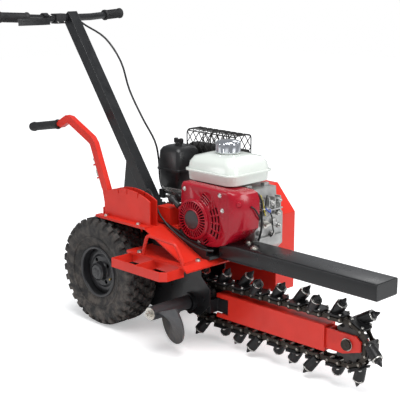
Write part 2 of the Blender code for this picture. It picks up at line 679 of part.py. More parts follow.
def squeeze_lever():
    """The squeeze lever: a bent blade in front of the grip with a web hung below it, and its pivot pin."""
    z = bar_point(SQUEEZE_PIVOT_Y).z

    def beside_pivot(offsets):
        return [(SQUEEZE_PIVOT_X + x * MM, SQUEEZE_PIVOT_Y + y * MM) for x, y in offsets]

    blade = beside_pivot([(7, 8), (26, -18), (30, -50), (18, -140), (8, -142), (18, -50), (8, -10), (-7, -8), (-7, 8)])
    web = beside_pivot([(25, -20), (29.5, -50), (17.5, -139), (10, -140.5), (20.5, -50), (14, -21)])
    shapes = [prism(blade, z - 4 * MM, z + 4 * MM, "Z"), prism(web, z - 19 * MM, z, "Z"),
              disc((SQUEEZE_PIVOT_X, SQUEEZE_PIVOT_Y, z), 3 * MM, -9 * MM, 9 * MM, "Z", 12)]
    return solid("squeeze_lever", BLACK, shapes, pivot=(SQUEEZE_PIVOT_X, SQUEEZE_PIVOT_Y, z))


def switch_box():
    """The small control box clamped round the bar beside the stem."""
    near, far = -76 * MM, -34 * MM
    centre = bar_point((near + far) / 2)
    wall = BAR_RADIUS + GAP + 3 * MM
    body = prism(rounded((centre.x - wall, centre.x + wall + 2 * MM), (centre.z - wall - 3 * MM, centre.z + wall),
                         4 * MM, 3), near, far)
    bore = disc((centre.x, 0, centre.z), BAR_RADIUS + GAP, near - 5 * MM, far + 5 * MM)
    return solid("switch_box", PLASTIC, [body], [bore])


# ---------------------------------------------------------------- digging gear

def boom_slope():
    return atan2(NOSE_Z - DRIVE_Z, NOSE_X - DRIVE_X)


def boom_middle(x):
    """Height of the boom's centre line."""
    return DRIVE_Z + (x - DRIVE_X) * tan(boom_slope())


def boom_outline(rear, front, height):
    half = height / 2
    return [(rear, boom_middle(rear) - half), (front, boom_middle(front) - half),
            (front, boom_middle(front) + half), (rear, boom_middle(rear) + half)]


def boom_tube():
    """The boom: a hollow box slid over the frame's bar, forked at the rear and slotted for the nose piece."""
    body = prism(boom_outline(BOOM_REAR_X + 19 * MM, BOOM_STEP_X, BOOM_HEIGHT), -BOOM_HALF_WIDTH, BOOM_HALF_WIDTH)
    inner = BOOM_HALF_WIDTH - BOOM_WALL
    hollow = prism(boom_outline(BOOM_REAR_X - 60 * MM, BOOM_STEP_X + 60 * MM, BOOM_HEIGHT - 2 * BOOM_WALL), -inner, inner)
    fork = prism(boom_outline(BOOM_REAR_X - 20 * MM, 469 * MM, 52 * MM), -2 * BOOM_HALF_WIDTH, 2 * BOOM_HALF_WIDTH)
    return solid("boom_tube", RED, [body], [hollow, fork])


def nose_piece():
    """The sliding front part that carries the nose sprocket in a fork."""
    half = NOSE_PIECE_HEIGHT / 2
    side = BOOM_HALF_WIDTH - BOOM_WALL - GAP
    rear = 700 * MM
    tip = boom_middle(NOSE_TIP_X)
    low_x = 920 * MM
    outline = [(rear, boom_middle(rear) - half), (low_x, boom_middle(low_x) - half), (NOSE_TIP_X, tip - 12 * MM),
               (NOSE_TIP_X, tip + 16 * MM), (NOSE_TIP_X - 19 * MM, tip + half), (rear, boom_middle(rear) + half)]
    body = prism(outline, -side, side)
    fork = box((NOSE_X - NOSE_PITCH_RADIUS, NOSE_TIP_X + 30 * MM),
               (-SPROCKET_HALF_WIDTH - SIDE_GAP, SPROCKET_HALF_WIDTH + SIDE_GAP), (40 * MM, 240 * MM))
    bore = hole((NOSE_X, 0, NOSE_Z), NOSE_PIN_RADIUS, -2 * side, 2 * side)
    return solid("nose_piece", RED, [body], [fork, bore])


def nose_bolt():
    """The nose sprocket's axle with its big near-side head."""
    side = BOOM_HALF_WIDTH - BOOM_WALL
    profile = [(0, -side - 9 * MM), (16 * MM, -side - 9 * MM), (16 * MM, -side), (NOSE_PIN_RADIUS, -side), (NOSE_PIN_RADIUS, side),
               (15 * MM, side), (15 * MM, side + 8 * MM), (0, side + 8 * MM)]
    return solid("nose_bolt", ZINC, [turned(profile, (NOSE_X, 0, NOSE_Z), steps=24)])


def chain_length():
    run = sqrt((NOSE_X - DRIVE_X) ** 2 + (NOSE_Z - DRIVE_Z) ** 2 - (NOSE_PITCH_RADIUS - DRIVE_PITCH_RADIUS) ** 2)
    lean = atan2(NOSE_PITCH_RADIUS - DRIVE_PITCH_RADIUS, run)
    return run, lean, NOSE_PITCH_RADIUS * (pi + 2 * lean), DRIVE_PITCH_RADIUS * (pi - 2 * lean)


def on_chain(distance, outward=0.0):
    """The point that far along the chain's pitch line, counted from the top run's rear end, and its outward way."""
    run, lean, nose_arc, drive_arc = chain_length()
    distance %= 2 * run + nose_arc + drive_arc
    slope = boom_slope()
    top, bottom = pi / 2 + slope + lean, -pi / 2 + slope - lean
    if distance < run:
        start, angle = (DRIVE_X, DRIVE_Z, DRIVE_PITCH_RADIUS), top
        along = distance
    elif distance < run + nose_arc:
        start, angle = (NOSE_X, NOSE_Z, NOSE_PITCH_RADIUS), top - (distance - run) / NOSE_PITCH_RADIUS
        along = 0
    elif distance < 2 * run + nose_arc:
        start, angle = (NOSE_X, NOSE_Z, NOSE_PITCH_RADIUS), bottom
        along = distance - run - nose_arc
    else:
        start, angle = (DRIVE_X, DRIVE_Z, DRIVE_PITCH_RADIUS), bottom - (distance - 2 * run - nose_arc) / DRIVE_PITCH_RADIUS
        along = 0
    x = start[0] + (start[2] + outward) * cos(angle) + along * sin(angle)
    z = start[1] + (start[2] + outward) * sin(angle) - along * cos(angle)
    return Vector((x, 0, z)), angle


def chain_loop(outward, steps=9):
    """The chain's outline at a distance outside its pitch line."""
    run, lean, nose_arc, drive_arc = chain_length()
    places = [0, run] + [run + nose_arc * step / steps for step in range(1, steps + 1)]
    places += [2 * run + nose_arc + drive_arc * step / steps for step in range(steps)]
    return [on_chain(place, outward)[0] for place in places]


def chain_side(start, end):
    """One side of the chain as an endless band of link plates."""
    outer = chain_loop(CHAIN_HALF_HEIGHT)
    inner = chain_loop(-CHAIN_HALF_HEIGHT)
    count = len(outer)
    rows = [[Vector((point.x, y, point.z)) for point in loop]
            for loop, y in ((outer, start), (outer, end), (inner, end), (inner, start))]
    points = [point for row in rows for point in row]
    faces = []
    for row in range(4):
        for here in range(count):
            there = (here + 1) % count
            other = (row + 1) % 4 * count
            faces.append((row * count + here, row * count + there, other + there, other + here))
    return points, faces


def along_chain(shape, distance):
    """A shape drawn at the origin (X along the chain, Z outward) placed on the chain."""
    place, angle = on_chain(distance)
    points, faces = shape
    turn = Matrix.Rotation(pi / 2 - angle, 3, "Y")
    return [turn @ point + place for point in points], faces


def tooth(side):
    """A welded holder with its conical pick, leaning well forward and to one side."""
    y = side * TOOTH_SPREAD
    base = box((-17 * MM, 17 * MM), (-CHAIN_OUTER_Y, CHAIN_OUTER_Y), (2 * MM, 15 * MM))
    foot = Vector((-14 * MM, y * 0.4, 8 * MM))
    tip = Vector((TOOTH_LEAN, y, TOOTH_REACH))
    shares = ((0, 13), (0.56, 14), (0.57, 9), (1, 1.5))
    pick = swept([foot.lerp(tip, share) for share, radius in shares], [radius * MM for share, radius in shares], 6)
    return [base, pick]


def digging_chain():
    """Both sides of link plates and the teeth that bridge them in three rows, as one endless chain."""
    shapes = [chain_side(-CHAIN_OUTER_Y, -CHAIN_INNER_Y), chain_side(CHAIN_INNER_Y, CHAIN_OUTER_Y)]
    run, lean, nose_arc, drive_arc = chain_length()
    spacing = (2 * run + nose_arc + drive_arc) / TOOTH_COUNT
    for number in range(TOOTH_COUNT):
        distance = (number + TOOTH_PHASE) * spacing
        for shape in tooth((-1, 0, 1)[number % 3]):
            shapes.append(along_chain(shape, distance))
    return solid("digging_chain", BLACK, shapes)


def sprocket(name, x, z, pitch_radius, teeth, pin_radius):
    """A toothed wheel whose teeth end just short of the chain's cross pins."""
    tip = pitch_radius - 5.5 * MM
    root = tip - 11 * MM
    outline = []
    for number in range(teeth):
        middle = 360 * number / teeth
        quarter = 90 / teeth
        outline += arc((x, z), tip, middle - 0.55 * quarter, middle + 0.55 * quarter, 1)
        outline += arc((x, z), root, middle + 1.3 * quarter, middle + 2.7 * quarter, 1)
    wheel = prism(outline, -SPROCKET_HALF_WIDTH, SPROCKET_HALF_WIDTH)
    bore = hole((x, 0, z), pin_radius, -2 * SPROCKET_HALF_WIDTH, 2 * SPROCKET_HALF_WIDTH)
    return solid(name, DARK, [wheel], [bore], pivot=(x, 0, z))


def spoil_auger():
    """A hub with one helical flight that winds from the near end inward to the frame."""
    start, turn_per_metre = radians(21), -radians(111) / (88 * MM)
    flight_near, flight_far = AUGER_NEAR_Y + AUGER_THICK, AUGER_FAR_Y - AUGER_THICK
    steps = 22
    points = []
    for step in range(steps + 1):
        y = flight_near + (flight_far - flight_near) * step / steps
        angle = start + (y - flight_near) * turn_per_metre
        for radius, side in ((0.8 * AUGER_HUB_RADIUS, -1), (AUGER_RADIUS, -1), (AUGER_RADIUS, 1), (0.8 * AUGER_HUB_RADIUS, 1)):
            points.append(Vector((DRIVE_X + radius * cos(angle), y + side * AUGER_THICK / 2, DRIVE_Z + radius * sin(angle))))
    faces = [(0, 1, 2, 3), tuple(4 * steps + corner for corner in (3, 2, 1, 0))]
    for step in range(steps):
        for corner in range(4):
            here, other = 4 * step + corner, 4 * step + (corner + 1) % 4
            faces.append((here, other, other + 4, here + 4))
    hub = disc((DRIVE_X, 0, DRIVE_Z), AUGER_HUB_RADIUS, AUGER_NEAR_Y, AUGER_FAR_Y)
    bore = hole((DRIVE_X, 0, DRIVE_Z), SHAFT_RADIUS, AUGER_NEAR_Y - AUGER_THICK, AUGER_FAR_Y + AUGER_THICK)
    return solid("spoil_auger", DARK, [hub, (points, faces)], [bore], pivot=(DRIVE_X, 0, DRIVE_Z))


def drive_shaft():
    """The shaft through the frame from the auger to the driven pulley."""
    shaft = disc((DRIVE_X, 0, DRIVE_Z), SHAFT_RADIUS, AUGER_NEAR_Y, PULLEY_Y + 14 * MM)
    solid("drive_shaft", DARK, [shaft, pulley(DRIVE_X, DRIVE_Z, DRIVEN_PULLEY_RADIUS)], pivot=(DRIVE_X, 0, DRIVE_Z))
    end = AUGER_NEAR_Y - GAP
    profile = [(0, end), (21 * MM, end), (21 * MM, end - 3 * MM), (11 * MM, end - 3 * MM), (11 * MM, end - 12 * MM),
               (6 * MM, end - 12 * MM), (6 * MM, end - 20 * MM), (0, end - 20 * MM)]
    solid("auger_bolt", ZINC, [turned(profile, (DRIVE_X, 0, DRIVE_Z), steps=12)], pivot=(DRIVE_X, 0, DRIVE_Z))


def pulley(x, z, radius):
    """The shape of a V-belt pulley with a groove for the belt."""
    half = BELT_WIDTH / 2 + 4 * MM
    groove = BELT_WIDTH / 2 + 1 * MM
    rim = radius + BELT_THICK
    profile = [(0, -half), (rim, -half), (rim, -groove), (radius, -groove), (radius, groove), (rim, groove),
               (rim, half), (0, half)]
    return turned(profile, (x, PULLEY_Y, z), steps=28)


def drive_belt():
    """The belt around the engine's pulley and the driven pulley."""
    apart = hypot(CRANK_X - DRIVE_X, CRANK_Z - DRIVE_Z)
    heading = degrees(atan2(CRANK_Z - DRIVE_Z, CRANK_X - DRIVE_X))
    open_angle = degrees(acos((DRIVEN_PULLEY_RADIUS - ENGINE_PULLEY_RADIUS) / apart))
    loops = []
    for extra in (2 * GAP, 2 * GAP + BELT_THICK):
        loops.append(arc((CRANK_X, CRANK_Z), ENGINE_PULLEY_RADIUS + extra, heading - open_angle, heading + open_angle, 12)
                     + arc((DRIVE_X, DRIVE_Z), DRIVEN_PULLEY_RADIUS + extra, heading + open_angle,
                           heading - open_angle + 360, 12))
    half = BELT_WIDTH / 2
    outer = prism(loops[1], PULLEY_Y - half, PULLEY_Y + half)
    inner = prism(loops[0], PULLEY_Y - BELT_WIDTH, PULLEY_Y + BELT_WIDTH)
    return solid("drive_belt", BELT, [outer], [inner])


# ---------------------------------------------------------------- engine

def lofted(sections, radius, steps=5):
    """Rounded rectangles (x pair, y pair, z) stacked upward into one closed skin."""
    points = []
    for x, y, z in sections:
        points += [Vector((px, py, z)) for px, py in rounded(x, y, radius, steps)]
    count = len(points) // len(sections)
    last = len(points) - count
    faces = [tuple(range(count)), tuple(range(last, last + count))]
    for level in range(len(sections) - 1):
        for here in range(count):
            a, b = level * count + here, level * count + (here + 1) % count
            faces.append((a, b, b + count, a + count))
    return points, faces


def inset_sections(x, y, levels):
    """The same rectangle at several heights, drawn in by a distance at each."""
    return [((x[0] + inset, x[1] - inset), (y[0] + inset, y[1] - inset), z) for inset, z in levels]


def guard_room():
    """The room that the chain guard takes under the engine."""
    side = GUARD_WIDTH / 2 + GAP
    return box((GUARD_REAR_X - GAP, GUARD_FRONT_X), (-side, side), (0, GUARD_BOTTOM_Z + GUARD_HEIGHT + GAP))


def crankcase():
    """The alloy crankcase with the tank's two posts and the crankshaft's bore."""
    outline = [(296 * MM, ENGINE_BASE_Z), (512 * MM, ENGINE_BASE_Z), (530 * MM, 330 * MM), (530 * MM, 432 * MM),
               (504 * MM, 452 * MM), (500 * MM, 512 * MM), (430 * MM, 512 * MM), (300 * MM, 470 * MM)]
    body = prism(outline, SHROUD_FAR_Y + GAP, 160 * MM)
    tank_foot = TANK_BOTTOM_Z - GAP
    posts = [box((x, x + 16 * MM), (y, y + 22 * MM), (400 * MM, tank_foot))
             for x, y in ((470 * MM, 40 * MM), (470 * MM, 120 * MM), (320 * MM, 120 * MM))]
    boss = disc((530 * MM, OIL_PLUG_Y, OIL_PLUG_Z), 15 * MM, -20 * MM, 6 * MM, "X", 16)
    bore = hole((CRANK_X, 0, CRANK_Z), CRANKSHAFT_RADIUS, 105 * MM, 200 * MM)
    return solid("crankcase", ALLOY, [body, *posts, boss], [bore, guard_room()])


def crankshaft():
    """The crankshaft's output end with the engine's pulley."""
    shaft = disc((CRANK_X, 0, CRANK_Z), CRANKSHAFT_RADIUS, 108 * MM, PULLEY_Y + 14 * MM)
    return solid("crankshaft", DARK, [shaft, pulley(CRANK_X, CRANK_Z, ENGINE_PULLEY_RADIUS)], pivot=(CRANK_X, 0, CRANK_Z))


def cylinder():
    """The finned cylinder and head behind the crankcase."""
    front = 296 * MM - GAP
    core = box((180 * MM, front), (38 * MM, 140 * MM), (322 * MM, 420 * MM))
    fins = [box((x * MM, (x + 3.5) * MM), (30 * MM, 150 * MM), (314 * MM, 430 * MM)) for x in range(196, 290, 15)]
    rocker = prism(rounded((45 * MM, 133 * MM), (330 * MM, 412 * MM), 12 * MM), 160 * MM, 182 * MM, "X")
    return solid("cylinder", ALLOY, [core, *fins, rocker])


def recoil_shroud():
    """The red fan shroud, with its front edge turned back towards the crankcase."""
    centre = (CRANK_X, CRANK_Z)
    outline = ([(530 * MM, 527 * MM), (302 * MM, 531 * MM), (298 * MM, 500 * MM)] + arc(centre, 76 * MM, 150, 262, 9)
               + [(440 * MM, 337 * MM), (486 * MM, 352 * MM), (545 * MM, 398 * MM), (550 * MM, 500 * MM)])
    body = prism(outline, ENGINE_NEAR_Y, SHROUD_FAR_Y)
    chamfer = prism([(482 * MM, ENGINE_NEAR_Y - 8 * MM), (570 * MM, ENGINE_NEAR_Y - 8 * MM), (570 * MM, ENGINE_NEAR_Y + 80 * MM)],
                    300 * MM, 560 * MM, "Z")
    port_end = Vector(STARTER_PORT)
    port = swept([port_end - STARTER_PULL * 30 * MM, port_end], 9 * MM, 14)
    tank_room = box((250 * MM, 600 * MM), (TANK_NEAR_Y - 2 * MM, SHROUD_FAR_Y + 9 * MM), (TANK_BOTTOM_Z - GAP, 600 * MM))
    fan_room = box((316 * MM, 470 * MM), (ENGINE_NEAR_Y + 3 * MM, SHROUD_FAR_Y + 2 * MM), (360 * MM, 519 * MM))
    side_room = box((302 * MM, 530 * MM), (-10 * MM, SHROUD_FAR_Y + 2 * MM), (402 * MM, 519 * MM))
    return solid("recoil_shroud", ENGINE_RED, [body, port], [chamfer, guard_room(), tank_room, fan_room, side_room])


def recoil_cover():
    """The round starter cover over the fan."""
    base = ENGINE_NEAR_Y - GAP
    profile = [(0, base), (66 * MM, base), (66 * MM, base - 5 * MM), (60 * MM, base - 10 * MM),
               (33 * MM, base - 13 * MM), (31 * MM, base - 15 * MM), (0, base - 15 * MM)]
    return solid("recoil_cover", ENGINE_RED, [turned(profile, (CRANK_X, 0, CRANK_Z), steps=32)])


def starter_grip():
    """The pull-start grip, resting against the starter cover's rim."""
    inner = STARTER_PORT + STARTER_PULL * GAP
    outer = inner + STARTER_PULL * 52 * MM
    shares = ((0, 8), (0.05, 10), (0.5, 8.5), (0.62, 12), (0.85, 13), (0.97, 10), (1, 6))
    path = [inner.lerp(outer, share) for share, radius in shares]
    return solid("starter_grip", PLASTIC, [swept(path, [radius * MM for share, radius in shares], 14)], pivot=inner, sharp=50)


def engine_switch():
    """The red stop-switch knob on the shroud's turned-back edge."""
    out = Vector((1, -1, 0)).normalized()
    face = Vector((522 * MM, ENGINE_NEAR_Y + 32 * MM, 489 * MM))
    path = [face + out * (GAP + reach) for reach in (0, 14 * MM, 19 * MM)]
    return solid("engine_switch", RED, [swept(path, [10 * MM, 10 * MM, 6 * MM], 12)], pivot=face)


def fuel_tank():
    """The two-part tank with its seam flange and filler neck."""
    x, y = (TANK_REAR_X, TANK_FRONT_X), (TANK_NEAR_Y, TANK_FAR_Y)
    levels = [(16, TANK_BOTTOM_Z / MM), (8, 529), (6, 557), (0, 558), (0, 563), (6, 564), (9, 586), (20, 603), (50, 612)]
    skin = lofted(inset_sections(x, y, [(inset * MM, z * MM) for inset, z in levels]), 34 * MM)
    neck = disc((FUEL_CAP_X, FUEL_CAP_Y, 0), NECK_RADIUS, 600 * MM, NECK_TOP_Z, "Z")
    inner_levels = [(19, 527), (11, 532), (9, 560), (12, 584), (24, 601), (52, 608)]
    inside = lofted(inset_sections(x, y, [(inset * MM, z * MM) for inset, z in inner_levels]), 30 * MM, 3)
    mouth = disc((FUEL_CAP_X, FUEL_CAP_Y, 0), NECK_RADIUS - 4 * MM, 600 * MM, NECK_TOP_Z + 5 * MM, "Z")
    return solid("fuel_tank", WHITE, [skin, neck], [inside, mouth], sharp=40)


def fuel_cap():
    """The scalloped filler cap."""
    outline = []
    lobes = 8
    for lobe in range(lobes):
        middle = 360 * lobe / lobes
        outline += arc((FUEL_CAP_X, FUEL_CAP_Y), 41 * MM, middle - 15, middle + 15, 2)
        outline += arc((FUEL_CAP_X, FUEL_CAP_Y), 38 * MM, middle + 19, middle + 26, 1)
    low, high = 616 * MM, 652 * MM
    socket = hole((FUEL_CAP_X, FUEL_CAP_Y, 0), NECK_RADIUS, low - 5 * MM, NECK_TOP_Z + GAP, "Z")
    crown = disc((FUEL_CAP_X, FUEL_CAP_Y, 0), 33 * MM, high - 1 * MM, high + 3 * MM, "Z")
    return solid("fuel_cap", CHROME, [prism(outline, low, high, "Z"), crown], [socket],
                 pivot=(FUEL_CAP_X, FUEL_CAP_Y, low))


def air_cleaner():
    """The air-cleaner housing: a base and a larger cover with a lip."""
    x, y = (35 * MM, 150 * MM), (60 * MM, 178 * MM)
    levels = [(14, 453), (6, 462), (6, 514), (0, 515), (0, 521), (4, 523), (7, 580), (14, 592), (26, 598)]
    skin = lofted(inset_sections(x, y, [(inset * MM, z * MM) for inset, z in levels]), 16 * MM, 3)
    return solid("air_cleaner", PLASTIC, [skin], sharp=40)


def air_cleaner_knob():
    """The wing knob on the air cleaner."""
    foot = 598 * MM + GAP
    centre = (94 * MM, 116 * MM, 0)
    base = disc(centre, 12 * MM, foot, foot + 10 * MM, "Z", 16)
    wings = prism(rounded((centre[0] - 20 * MM, centre[0] + 20 * MM), (foot + 6 * MM, foot + 24 * MM), 5 * MM, 3),
                  centre[1] - 4 * MM, centre[1] + 4 * MM)
    dip = disc((centre[0], 0, foot + 28 * MM), 9 * MM, centre[1] - 8 * MM, centre[1] + 8 * MM)
    return solid("air_cleaner_knob", PLASTIC, [base, wings], [dip], pivot=(centre[0], centre[1], foot))


def carburettor():
    """The carburettor with its float bowl, between the air cleaner and the cylinder."""
    body = box((60 * MM, 148 * MM), (72 * MM, 126 * MM), (434 * MM, 453 * MM - GAP))
    neck = box((140 * MM, 214 * MM), (76 * MM, 112 * MM), (430 * MM + GAP, 452 * MM))
    bowl = disc((96 * MM, 94 * MM, 0), 22 * MM, 404 * MM, 440 * MM, "Z", 20)
    lever = box((70 * MM, 112 * MM), (58 * MM, 76 * MM), (438 * MM, 444 * MM))
    return solid("carburettor", ALLOY, [body, neck, bowl, lever])


def muffler():
    """The muffler on the far side and its pipe down to the cylinder head."""
    can = prism(rounded((MUFFLER_NEAR_Y, MUFFLER_FAR_Y), (506 * MM, 594 * MM), 22 * MM), MUFFLER_REAR_X, MUFFLER_FRONT_X, "X")
    x, y = 200 * MM, 132 * MM
    pipe = swept(bent([(x, 205 * MM, 535 * MM), (x, y, 495 * MM), (x, y, 430 * MM + GAP)], 26 * MM, 4), 13 * MM, 12)
    inside = prism(rounded((MUFFLER_NEAR_Y + 3 * MM, MUFFLER_FAR_Y - 3 * MM), (509 * MM, 591 * MM), 19 * MM),
                   MUFFLER_REAR_X + 3 * MM, MUFFLER_FRONT_X - 3 * MM, "X")
    gas_way = swept(bent([(x, 205 * MM, 535 * MM), (x, y, 495 * MM), (x, y, 425 * MM)], 26 * MM, 4), 10 * MM, 8)
    return solid("muffler", DARK, [can, pipe], [inside, gas_way])


def muffler_guard():
    """The wire cage over the muffler: hoops joined by long wires and slanting ones."""
    wire = 2.4 * MM
    near, far = MUFFLER_NEAR_Y - wire - GAP, MUFFLER_FAR_Y + wire + GAP
    low, high = 560 * MM, 643 * MM
    shapes = []
    count = 5
    for number in range(count):
        x = MUFFLER_REAR_X + 6 * MM + (MUFFLER_FRONT_X - MUFFLER_REAR_X - 12 * MM) * number / (count - 1)
        shapes.append(swept(bent([(x, near, low), (x, near, high), (x, far, high), (x, far, low)], 24 * MM, 1), wire, 4))
    for y, z in ((near, low + 6 * MM), (near, high - 26 * MM), ((near + far) / 2, high), (far, high - 26 * MM), (far, low + 6 * MM)):
        shapes.append(swept([(MUFFLER_REAR_X, y, z), (MUFFLER_FRONT_X, y, z)], wire, 4))
    return solid("muffler_guard", BLACK, shapes)


def oil_plug():
    """The oil filler plug with its finger bar."""
    start = 536 * MM + GAP
    knob = disc((0, OIL_PLUG_Y, OIL_PLUG_Z), 13 * MM, start, start + 8 * MM, "X", 16)
    bar = box((start + 4 * MM, start + 18 * MM), (OIL_PLUG_Y - 11 * MM, OIL_PLUG_Y + 11 * MM),
              (OIL_PLUG_Z - 3.5 * MM, OIL_PLUG_Z + 3.5 * MM))
    return solid("oil_plug", ALLOY, [knob, bar], pivot=(start, OIL_PLUG_Y, OIL_PLUG_Z))


# ---------------------------------------------------------------- wheels

def tyre(name, side):
    """A wide low-pressure turf tyre."""
    section = [(RIM_RADIUS + 2 * GAP, 13), (100 * MM, 6), (132 * MM, 0), (158 * MM, 2), (176 * MM, 9), (WHEEL_RADIUS, 22)]
    mirrored = [(radius, TYRE_WIDTH / MM - place) for radius, place in reversed(section)]
    profile = [(radius, side * (TYRE_INNER_Y + place * MM)) for radius, place in section + mirrored]
    return solid(name, RUBBER, [turned(profile, (0, 0, WHEEL_RADIUS), steps=40)], pivot=(0, 0, WHEEL_RADIUS), sharp=50)


def rim(name, side):
    """A dished steel rim whose hub turns on the axle."""
    bore = AXLE_RADIUS + GAP
    sheet = 8 * MM
    web = 140 * MM
    profile = [(bore, 92 * MM), (28 * MM, 92 * MM), (28 * MM, web), (RIM_RADIUS - sheet, web), (RIM_RADIUS - sheet, 76 * MM),
               (RIM_RADIUS, 76 * MM), (RIM_RADIUS, 174 * MM), (RIM_RADIUS - sheet, 174 * MM), (RIM_RADIUS - sheet, web + sheet),
               (28 * MM, web + sheet), (28 * MM, 178 * MM), (24 * MM, 182 * MM), (0, 182 * MM), (0, AXLE_END_Y + GAP),
               (bore, AXLE_END_Y + GAP)]
    return solid(name, BLACK, [turned([(radius, side * y) for radius, y in profile], (0, 0, WHEEL_RADIUS), steps=24)],
                 pivot=(0, 0, WHEEL_RADIUS))


def ribbon(path, width):
    """The outline of a flat bar of one width along a path of (x, z) points."""
    left, right = [], []
    for here, point in enumerate(path):
        before = Vector(path[max(here - 1, 0)])
        after = Vector(path[min(here + 1, len(path) - 1)])
        along = (after - before).normalized()
        across = Vector((-along.y, along.x)) * width / 2
        left.append(tuple(Vector(point) + across))
        right.append(tuple(Vector(point) - across))
    return left + right[::-1]


def axle_frame():
    """The swing frame that carries the axle: two arms, the pivot tube and the horn that the link pushes."""
    inner, outer = 40 * MM, 48 * MM
    arms = [prism(ribbon([(SWING_X, SWING_Z), (0, WHEEL_RADIUS)], 28 * MM), side * inner, side * outer) for side in (-1, 1)]
    ends = [disc((0, 0, WHEEL_RADIUS), 18 * MM, side * inner, side * (outer + 1 * MM)) for side in (-1, 1)]
    axle = disc((0, 0, WHEEL_RADIUS), AXLE_RADIUS, -AXLE_END_Y, AXLE_END_Y)
    tube = disc((SWING_X, 0, SWING_Z), 16 * MM, -50 * MM, 50 * MM)
    pin = disc((SWING_X, 0, SWING_Z), SWING_PIN_RADIUS, -FRAME_HALF_WIDTH - 2 * MM, FRAME_HALF_WIDTH + 2 * MM)
    horn = prism(ribbon([(SWING_X, SWING_Z), (SWING_X, SWING_Z + HORN_REACH + 8 * MM)], 18 * MM), -26 * MM, -18 * MM)
    horn_pin = disc((SWING_X, 0, SWING_Z + HORN_REACH), LINK_PIN_RADIUS, -33 * MM, -20 * MM)
    return solid("axle_frame", BLACK, [tube, *arms, *ends, axle, pin, horn, horn_pin], pivot=(SWING_X, 0, SWING_Z))


# ---------------------------------------------------------------- depth lever

def depth_lever():
    """The cranked depth lever: hand bar between the quadrant plates, cross tube, inner leg, pin and tail."""
    bar_half = 10 * MM
    near, far = LEVER_Y - bar_half, LEVER_Y + bar_half
    bar = prism(ribbon([(-243 * MM, 660 * MM), (-201 * MM, 683 * MM), (-186 * MM, 681 * MM), (-71 * MM, 625 * MM),
                        (-60 * MM, 612 * MM), (2 * MM, 464 * MM), (17 * MM, 399 * MM)], 27 * MM), near, far)
    core = swept([(-226 * MM, LEVER_Y, 663 * MM), LEVER_GRIP_END], 9 * MM, 14)
    pivot = (LEVER_PIVOT_X, LEVER_PIVOT_Z)
    tube = disc((LEVER_TUBE_X, 0, LEVER_TUBE_Z), LEVER_TUBE_RADIUS, near, LEVER_LEG_Y + 6 * MM, steps=20)
    leg_near, leg_far = LEVER_LEG_Y - 6 * MM, LEVER_LEG_Y + 6 * MM
    leg = prism(ribbon([(LEVER_TUBE_X, LEVER_TUBE_Z), pivot], 20 * MM), leg_near, leg_far)
    tail = prism(ribbon([pivot, (LINK_X + 3 * MM, LINK_Z - 6 * MM)], 20 * MM), leg_near, leg_far)
    pin_end = FRAME_HALF_WIDTH + 2 * MM
    pin = disc((pivot[0], 0, pivot[1]), LEVER_PIN_RADIUS, -pin_end, pin_end, steps=24)
    hub = disc((pivot[0], 0, pivot[1]), LEVER_PIN_RADIUS + 5 * MM, leg_near, leg_far, steps=24)
    ears = [on_lever(box((-30 * MM, 0), (LEVER_Y - 7 * MM, LEVER_Y + 7 * MM), (z, z + 5 * MM)))
            for z in (0, 46 * MM)]
    rod_hole = on_lever(hole((LATCH_OFFSET, LEVER_Y, 0), 4 * MM, -20 * MM, 80 * MM, "Z"))
    link_hole = disc((LINK_X, 0, LINK_Z), LINK_PIN_RADIUS + GAP, 2 * leg_near, 0, steps=16)
    return solid("depth_lever", RED, [bar, core, tube, leg, tail, pin, hub, *ears], [rod_hole, link_hole],
                 pivot=(pivot[0], 0, pivot[1]))


def on_lever(shape):
    """A shape drawn beside an upright bar (minus X is its rear) placed on the lever's straight lower part."""
    low = Vector((-16 * MM, 0, 507 * MM))
    lean = atan2(-62, 148)
    points, faces = turned_about_y(shape, (0, 0), -lean)
    return [point + low for point in points], faces


def lever_grip():
    """The rubber grip on the depth lever."""
    start, end = Vector((-258 * MM, LEVER_Y, 657.7 * MM)), LEVER_GRIP_END
    shares = ((0, 16), (0.04, 18), (0.1, 15), (0.85, 15), (0.92, 17.5), (1.0, 15.5))
    beyond = end + (end - start).normalized() * 5 * MM
    path = [start.lerp(beyond, share) for share, radius in shares]
    hollow = swept([start * 2 - end, end + (end - start).normalized() * GAP], 9 * MM + GAP, 14)
    return solid("lever_grip", GRIP, [swept(path, [radius * MM for share, radius in shares], 16)], [hollow],
                 pivot=(LEVER_PIVOT_X, 0, LEVER_PIVOT_Z), sharp=50)


def latch_rod():
    """The latch rod behind the lever, with its spring between the two ears."""
    profile = [(0, -34), (4, -34), (4, 8), (7, 8), (7, 30), (4, 30), (4, 62), (6, 62), (6, 70), (0, 70)]
    rod = turned([(radius * MM, z * MM) for radius, z in profile], (LATCH_OFFSET, LEVER_Y, 0), "Z", 14)
    place = on_lever(([Vector((LATCH_OFFSET, LEVER_Y, 0))], []))[0][0]
    return solid("latch_rod", ZINC, [on_lever(rod)], pivot=place)


